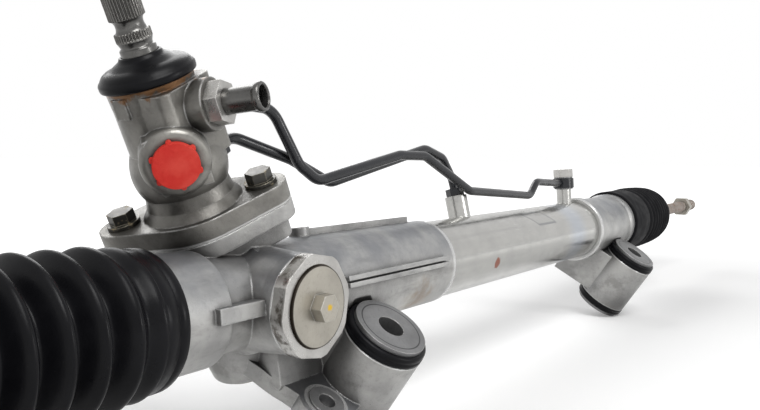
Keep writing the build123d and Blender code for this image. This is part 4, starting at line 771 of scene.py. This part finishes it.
def near_boot_stations():
    """Crests and valleys of the near boot, as (distance from the lip, radius)."""
    first_valley = 28.6
    valley = 24.8
    crests = [
        (13.2, 32.0), (26.2, 33.5), (41.3, 33.8), (55.8, 34.2), (70.3, 34.2), (84.8, 34.2),
        (99.3, 33.6)]
    stations = [(11.3, 30.4)]
    for crest, (after, _) in zip(crests, crests[1:]):
        stations.append(crest)
        stations.append(((crest[0] + after) / 2, first_valley if crest == crests[0] else valley))
    stations.append(crests[-1])
    ends = (
        (106.5, 23.6), (113.0, 29.9), (119.7, 19.6), (126.2, 25.6), (132.8, 15.6), (139.4, 21.3),
        (146.0, 12.4), (152.4, 17.0), (158.6, 11.2), (162.0, 12.8), (166.4, 10.3))
    return stations + list(ends)


def far_boot_stations():
    """Crests and valleys of the far boot, as (distance from the lip, radius)."""
    pitch = 9.0
    crest_at = 4.0
    valley_at = 8.6
    valley = 27.6
    stations = [(47.5, 29.6)]
    reach = 48.5
    for radius in (31.6, 32.0, 32.1, 32.0, 31.8, 31.6, 31.2, 30.6):
        stations.append((reach + crest_at, radius))
        stations.append((reach + valley_at, valley))
        reach += pitch
    taper = (
        (123.8, 29.4), (127.6, 24.8), (132.4, 27.2), (136.2, 22.4), (141.0, 24.6), (144.8, 19.6),
        (149.6, 21.8), (153.4, 16.6), (158.2, 18.8), (162.0, 14.0), (166.8, 16.0), (170.6, 12.0),
        (175.4, 13.6), (179.5, 11.2), (183.4, 10.3))
    return stations + list(taper)


NEAR_COLLAR = [
    (0.0, 29.6), (0.3, 30.3), (1.0, 30.6), (4.6, 30.7), (5.0, 30.2), (5.5, 30.2), (5.9, 30.7),
    (10.6, 30.6)]
FAR_COLLAR = [
    (0.0, 29.4), (0.4, 30.3), (1.2, 30.6), (3.0, 30.6), (20.0, 30.7), (43.6, 30.9), (44.4, 30.6),
    (45.0, 29.2), (47.0, 29.0)]
folded_boot("near", NEAR_BALL, lip=-68.0, collar=NEAR_COLLAR, folds=near_boot_stations(), fullness=0.8,
            seat_radius=25.6, pinch_end=116.0)
folded_boot("far", FAR_BALL, lip=520.0, collar=FAR_COLLAR, folds=far_boot_stations(), fullness=0.4,
            seat_radius=26.8, pinch_end=144.0)


# Tie rods, with distances from the ball's centre
BALL_RADIUS = 12
BALL_PARTS = 13
BALL_NECK_ANGLE = 0.50
THREAD_START = 148.0
THREAD_END = 208.0
THREAD_RADIUS = 7.0
THREAD_PITCH = 1.5
THREAD_DEPTH = 0.8
THREAD_ROWS = 8
ROD_SEGMENTS = 48
ROD_LINE = [(13.5, 6.0), (20.0, 6.0), (26.0, 6.5), (146.5, 6.5), (147.6, 6.95)]


def threaded_rod(name, centre, way, plain, material):
    """Turned rod whose last stretch carries a real thread. plain is its line up to the thread."""
    side = way.cross(UP).normalized()
    count = int((THREAD_END - THREAD_START) / THREAD_PITCH * THREAD_ROWS)
    line = [(reach, value, 0.0) for reach, value in plain]
    for index in range(count + 1):
        reach = THREAD_START + (THREAD_END - THREAD_START) * index / count
        run_in = (reach - THREAD_START) / (2 * THREAD_PITCH)
        run_out = (THREAD_END - reach) / THREAD_PITCH + 0.15
        line.append((reach, THREAD_RADIUS, THREAD_DEPTH * min(1.0, run_in, run_out)))
    rings = []
    for reach, value, groove in line:
        ring = []
        for index in range(ROD_SEGMENTS):
            share = index / ROD_SEGMENTS
            turn = (reach / THREAD_PITCH + share) % 1.0
            drop = groove * min(1.0, abs(2 * turn - 1) * 1.35)
            spoke = UP * cos(2 * pi * share) + side * sin(2 * pi * share)
            ring.append(centre + (way * reach + spoke * max(value - drop, 0.01)) * MM)
        rings.append(ring)
    return skinned_rings(name, rings, material)


def tie_rods():
    """Tie rods with their ball and their cut thread."""
    ball_line = [(-BALL_RADIUS, 0.01)]
    for part in range(1, BALL_PARTS + 1):
        angle = pi - (pi - BALL_NECK_ANGLE) * part / BALL_PARTS
        ball_line.append((BALL_RADIUS * cos(angle), BALL_RADIUS * sin(angle)))
    for side, ball, way in (("near", NEAR_BALL, -ALONG), ("far", FAR_BALL, ALONG)):
        piece = threaded_rod(f"{side}_tie_rod_steel", rack_point(ball), way, ball_line + ROD_LINE,
                             SURFACES["rusty_steel"])
        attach(piece, f"{side}_rod")
        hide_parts(f"{side}_tie_rod")


def bush_rubbers():
    """Rubber of each mount bush, with rounded rims and a moulded step."""
    bore = 10.8
    half = [
        (22.2, 18.4), (22.35, 22.3), (22.8, 22.75), (24.5, 22.75), (24.9, 22.35), (25.5, 22.35),
        (25.9, 22.65), (27.4, 22.45), (28.2, 21.9), (28.45, 21.2), (28.45, 10.9)]
    end = half[-1][0]
    line = [(-reach, radius) for reach, radius in reversed(half)] + half + [(end, bore), (-end, bore)]
    for side, mount in (("near", NEAR_MOUNT), ("far", FAR_MOUNT)):
        piece = turned_piece(f"{side}_bush_rubber", mount_point(*mount), BOLT_WAY, ALONG, line, RUBBER)
        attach(piece, "housing")
        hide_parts(f"{side}_mount_rubber")


def cap_over_tower():
    """Rubber dust cap with a rolled rim, a soft shoulder and a wiper lip."""
    top = 112.0
    outer = [
        (0.2, 18.2), (0.1, 21.0), (0.5, 21.6), (1.3, 21.8), (3.0, 21.8), (3.8, 21.4), (4.3, 20.8),
        (5.2, 20.2), (6.4, 19.2), (7.3, 17.6), (7.8, 15.6), (8.3, 14.2), (9.2, 12.9), (10.1, 11.2),
        (10.8, 10.1), (11.6, 9.7), (12.2, 9.3), (12.3, 8.9), (12.2, 8.5)]
    inner = [(10.2, 8.5), (9.0, 9.6), (7.4, 11.6), (6.0, 15.2), (5.6, 16.6), (3.0, 17.3), (0.4, 17.2)]
    piece = turned_piece("dust_cap_rubber", pinion_point(top), PINION_WAY, SIDE_WAY, outer + inner, RUBBER)
    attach(piece, "housing")
    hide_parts("dust_cap")


# Input shaft, as (level on the pinion's axis, radius, share of the serrations' depth) in mm
SHAFT_LINE = [
    (44.4, 6.9, 0), (50.4, 6.9, 0), (50.4, 9.3, 0), (95.0, 9.3, 0), (95.5, 8.1, 0), (126.5, 8.1, 0),
    (126.9, 8.0, 0), (127.3, 7.6, 0), (127.5, 7.1, 0), (128.3, 7.1, 0), (129.7, 7.7, 0),
    (130.2, 7.85, 0), (130.5, 8.0, 0), (131.3, 8.05, 1), (133.9, 8.05, 1), (134.1, 7.9, 0.7),
    (134.3, 7.2, 0), (134.6, 6.9, 0), (135.1, 6.6, 0), (135.8, 6.35, 0), (136.6, 6.22, 0),
    (137.5, 6.22, 0), (138.3, 6.35, 0), (139.0, 6.65, 0), (139.5, 7.05, 0), (139.75, 7.25, 0),
    (139.9, 7.85, 0.7), (140.2, 8.05, 1), (161.6, 8.05, 1), (162.8, 7.1, 0), (163.0, 6.8, 0),
    (163.0, 2.6, 0), (160.0, 2.5, 0)]
SERRATIONS = 36
SERRATION_DEPTH = 0.85
SERRATION_POINTS = 8


def input_shaft():
    """Input shaft with cut serrations, a rounded pinch groove and a stepped collar."""
    count = SERRATIONS * SERRATION_POINTS
    side = PINION_WAY.cross(SIDE_WAY).normalized()
    rings = []
    for level, radius, share in SHAFT_LINE:
        ring = []
        for index in range(count):
            tooth = (index % SERRATION_POINTS) / SERRATION_POINTS
            drop = SERRATION_DEPTH * share * min(1.0, abs(2 * tooth - 1) * 1.25)
            angle = 2 * pi * index / count
            spoke = SIDE_WAY * cos(angle) + side * sin(angle)
            ring.append(pinion_point(level) + spoke * (radius - drop) * MM)
        rings.append(ring)
    rounded = [first[2] == 0 and second[2] == 0 for first, second in zip(SHAFT_LINE, SHAFT_LINE[1:])]
    piece = skinned_rings("input_shaft_steel", rings, SURFACES["dark_steel"], rounded=rounded)
    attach(piece, "input")
    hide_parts("input_shaft")


def return_spigot():
    """Steel pipe of the return port with a rolled bead at its mouth."""
    port_level = 96.6
    port_reach = 27.0
    turn = radians(72)
    way = SIDE_WAY * cos(turn) + GUIDE_WAY * sin(turn)
    outer = [
        (-9.0, 5.6), (0.0, 5.8), (20.2, 5.8), (20.9, 5.95), (21.5, 6.35), (22.2, 6.7), (23.0, 6.8),
        (23.7, 6.68), (24.2, 6.35), (24.45, 5.9)]
    inner = [(24.45, 5.4), (24.2, 5.05), (23.6, 4.9), (-9.0, 4.9)]
    centre = pinion_point(port_level) + way * port_reach * MM
    piece = turned_piece("return_pipe_steel", centre, way, PINION_WAY, outer + inner, SURFACES["dark_steel"])
    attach(piece, "housing")
    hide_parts("return_pipe")


def spring_coil():
    """Coil spring of the rack guide."""
    node = bpy.data.objects["guide_spring"]
    mesh = node.data.copy()
    mesh.transform(node.matrix_world)
    piece = bpy.data.objects.new("guide_spring_coil", mesh)
    bpy.context.collection.objects.link(piece)
    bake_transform(piece)
    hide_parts("guide_spring")


tie_rods()
spring_coil()
bush_rubbers()
cap_over_tower()
input_shaft()
return_spigot()


# Floor, surroundings and lamps
FLOOR_SIZE = 8.0
FLOOR_GREY = (0.88, 0.88, 0.88, 1.0)
WHITE = (1.0, 1.0, 1.0, 1.0)
STUDIO_STRENGTH = 0.28


def direct_sight(tree):
    """1 for the rays that should meet plain white: from the camera, mirrored or through glass."""
    path = add(tree, "ShaderNodeLightPath")
    seen = maths(tree, "MAXIMUM", path.outputs["Is Camera Ray"], path.outputs["Is Glossy Ray"])
    return maths(tree, "MAXIMUM", seen, path.outputs["Is Transmission Ray"])


def mix_shaders(tree, share, first, second):
    """Two shaders mixed by a share."""
    mixer = add(tree, "ShaderNodeMixShader")
    tree.links.new(share, mixer.inputs["Fac"])
    tree.links.new(first, mixer.inputs[1])
    tree.links.new(second, mixer.inputs[2])
    return mixer.outputs["Shader"]


def lay_floor():
    """Plain pale floor. What sees it directly finds it fading to white away from the part."""
    low = cad_box[0][2]
    size = FLOOR_SIZE
    mesh = bpy.data.meshes.new("floor")
    corners = [(-size, -size, low), (size, -size, low), (size, size, low), (-size, size, low)]
    mesh.from_pydata(corners, [], [(0, 1, 2, 3)])
    floor = bpy.data.objects.new("floor", mesh)
    bpy.context.collection.objects.link(floor)
    material, tree = new_tree("pale floor")
    shader = add(tree, "ShaderNodeBsdfDiffuse")
    feed(tree, shader.inputs["Color"], FLOOR_GREY)
    glow = add(tree, "ShaderNodeEmission")
    feed(tree, glow.inputs["Color"], WHITE)
    reach = from_point(tree, place_of(tree), Vector((0.15, 0.0, low)))
    feed(tree, glow.inputs["Strength"], step(tree, reach, 0.5, 1.6, 0.15, 1.0))
    join = add(tree, "ShaderNodeAddShader")
    tree.links.new(shader.outputs["BSDF"], join.inputs[0])
    tree.links.new(glow.outputs["Emission"], join.inputs[1])
    surface = mix_shaders(tree, direct_sight(tree), shader.outputs["BSDF"], join.outputs["Shader"])
    out = add(tree, "ShaderNodeOutputMaterial")
    tree.links.new(surface, out.inputs["Surface"])
    mesh.materials.append(material)


def background(tree, strength):
    """Plain white surroundings of that strength."""
    node = add(tree, "ShaderNodeBackground")
    feed(tree, node.inputs["Color"], WHITE)
    feed(tree, node.inputs["Strength"], strength)
    return node.outputs["Background"]


def light_studio():
    """White surroundings that light the part softly."""
    world = bpy.data.worlds.new("studio")
    bpy.context.scene.world = world
    world.use_nodes = True
    tree = world.node_tree
    tree.nodes.clear()
    surface = mix_shaders(tree, direct_sight(tree), background(tree, STUDIO_STRENGTH), background(tree, 1.0))
    out = add(tree, "ShaderNodeOutputWorld")
    tree.links.new(surface, out.inputs["Surface"])


def lamp(name, place, target, size, power):
    """A square soft lamp aimed at a point. size is its side in metres, power in watts."""
    data = bpy.data.lights.new(name, "AREA")
    data.shape = "SQUARE"
    data.size = size
    data.energy = power
    obj = bpy.data.objects.new(name, data)
    bpy.context.collection.objects.link(obj)
    obj.location = place
    obj.rotation_euler = (Vector(target) - Vector(place)).to_track_quat("-Z", "Y").to_euler()


lay_floor()
light_studio()
lamp("key lamp", (-0.5, -0.75, 1.25), target=(0.1, 0, 0), size=0.7, power=16.0)
lamp("back lamp", (0.6, 0.9, 1.0), target=(0.1, 0, 0), size=0.9, power=9.0)
lamp("side lamp", (0.5, -1.3, 0.35), target=(0.2, 0, 0), size=0.35, power=4.0)
bpy.context.scene.view_settings.view_transform = "Standard"
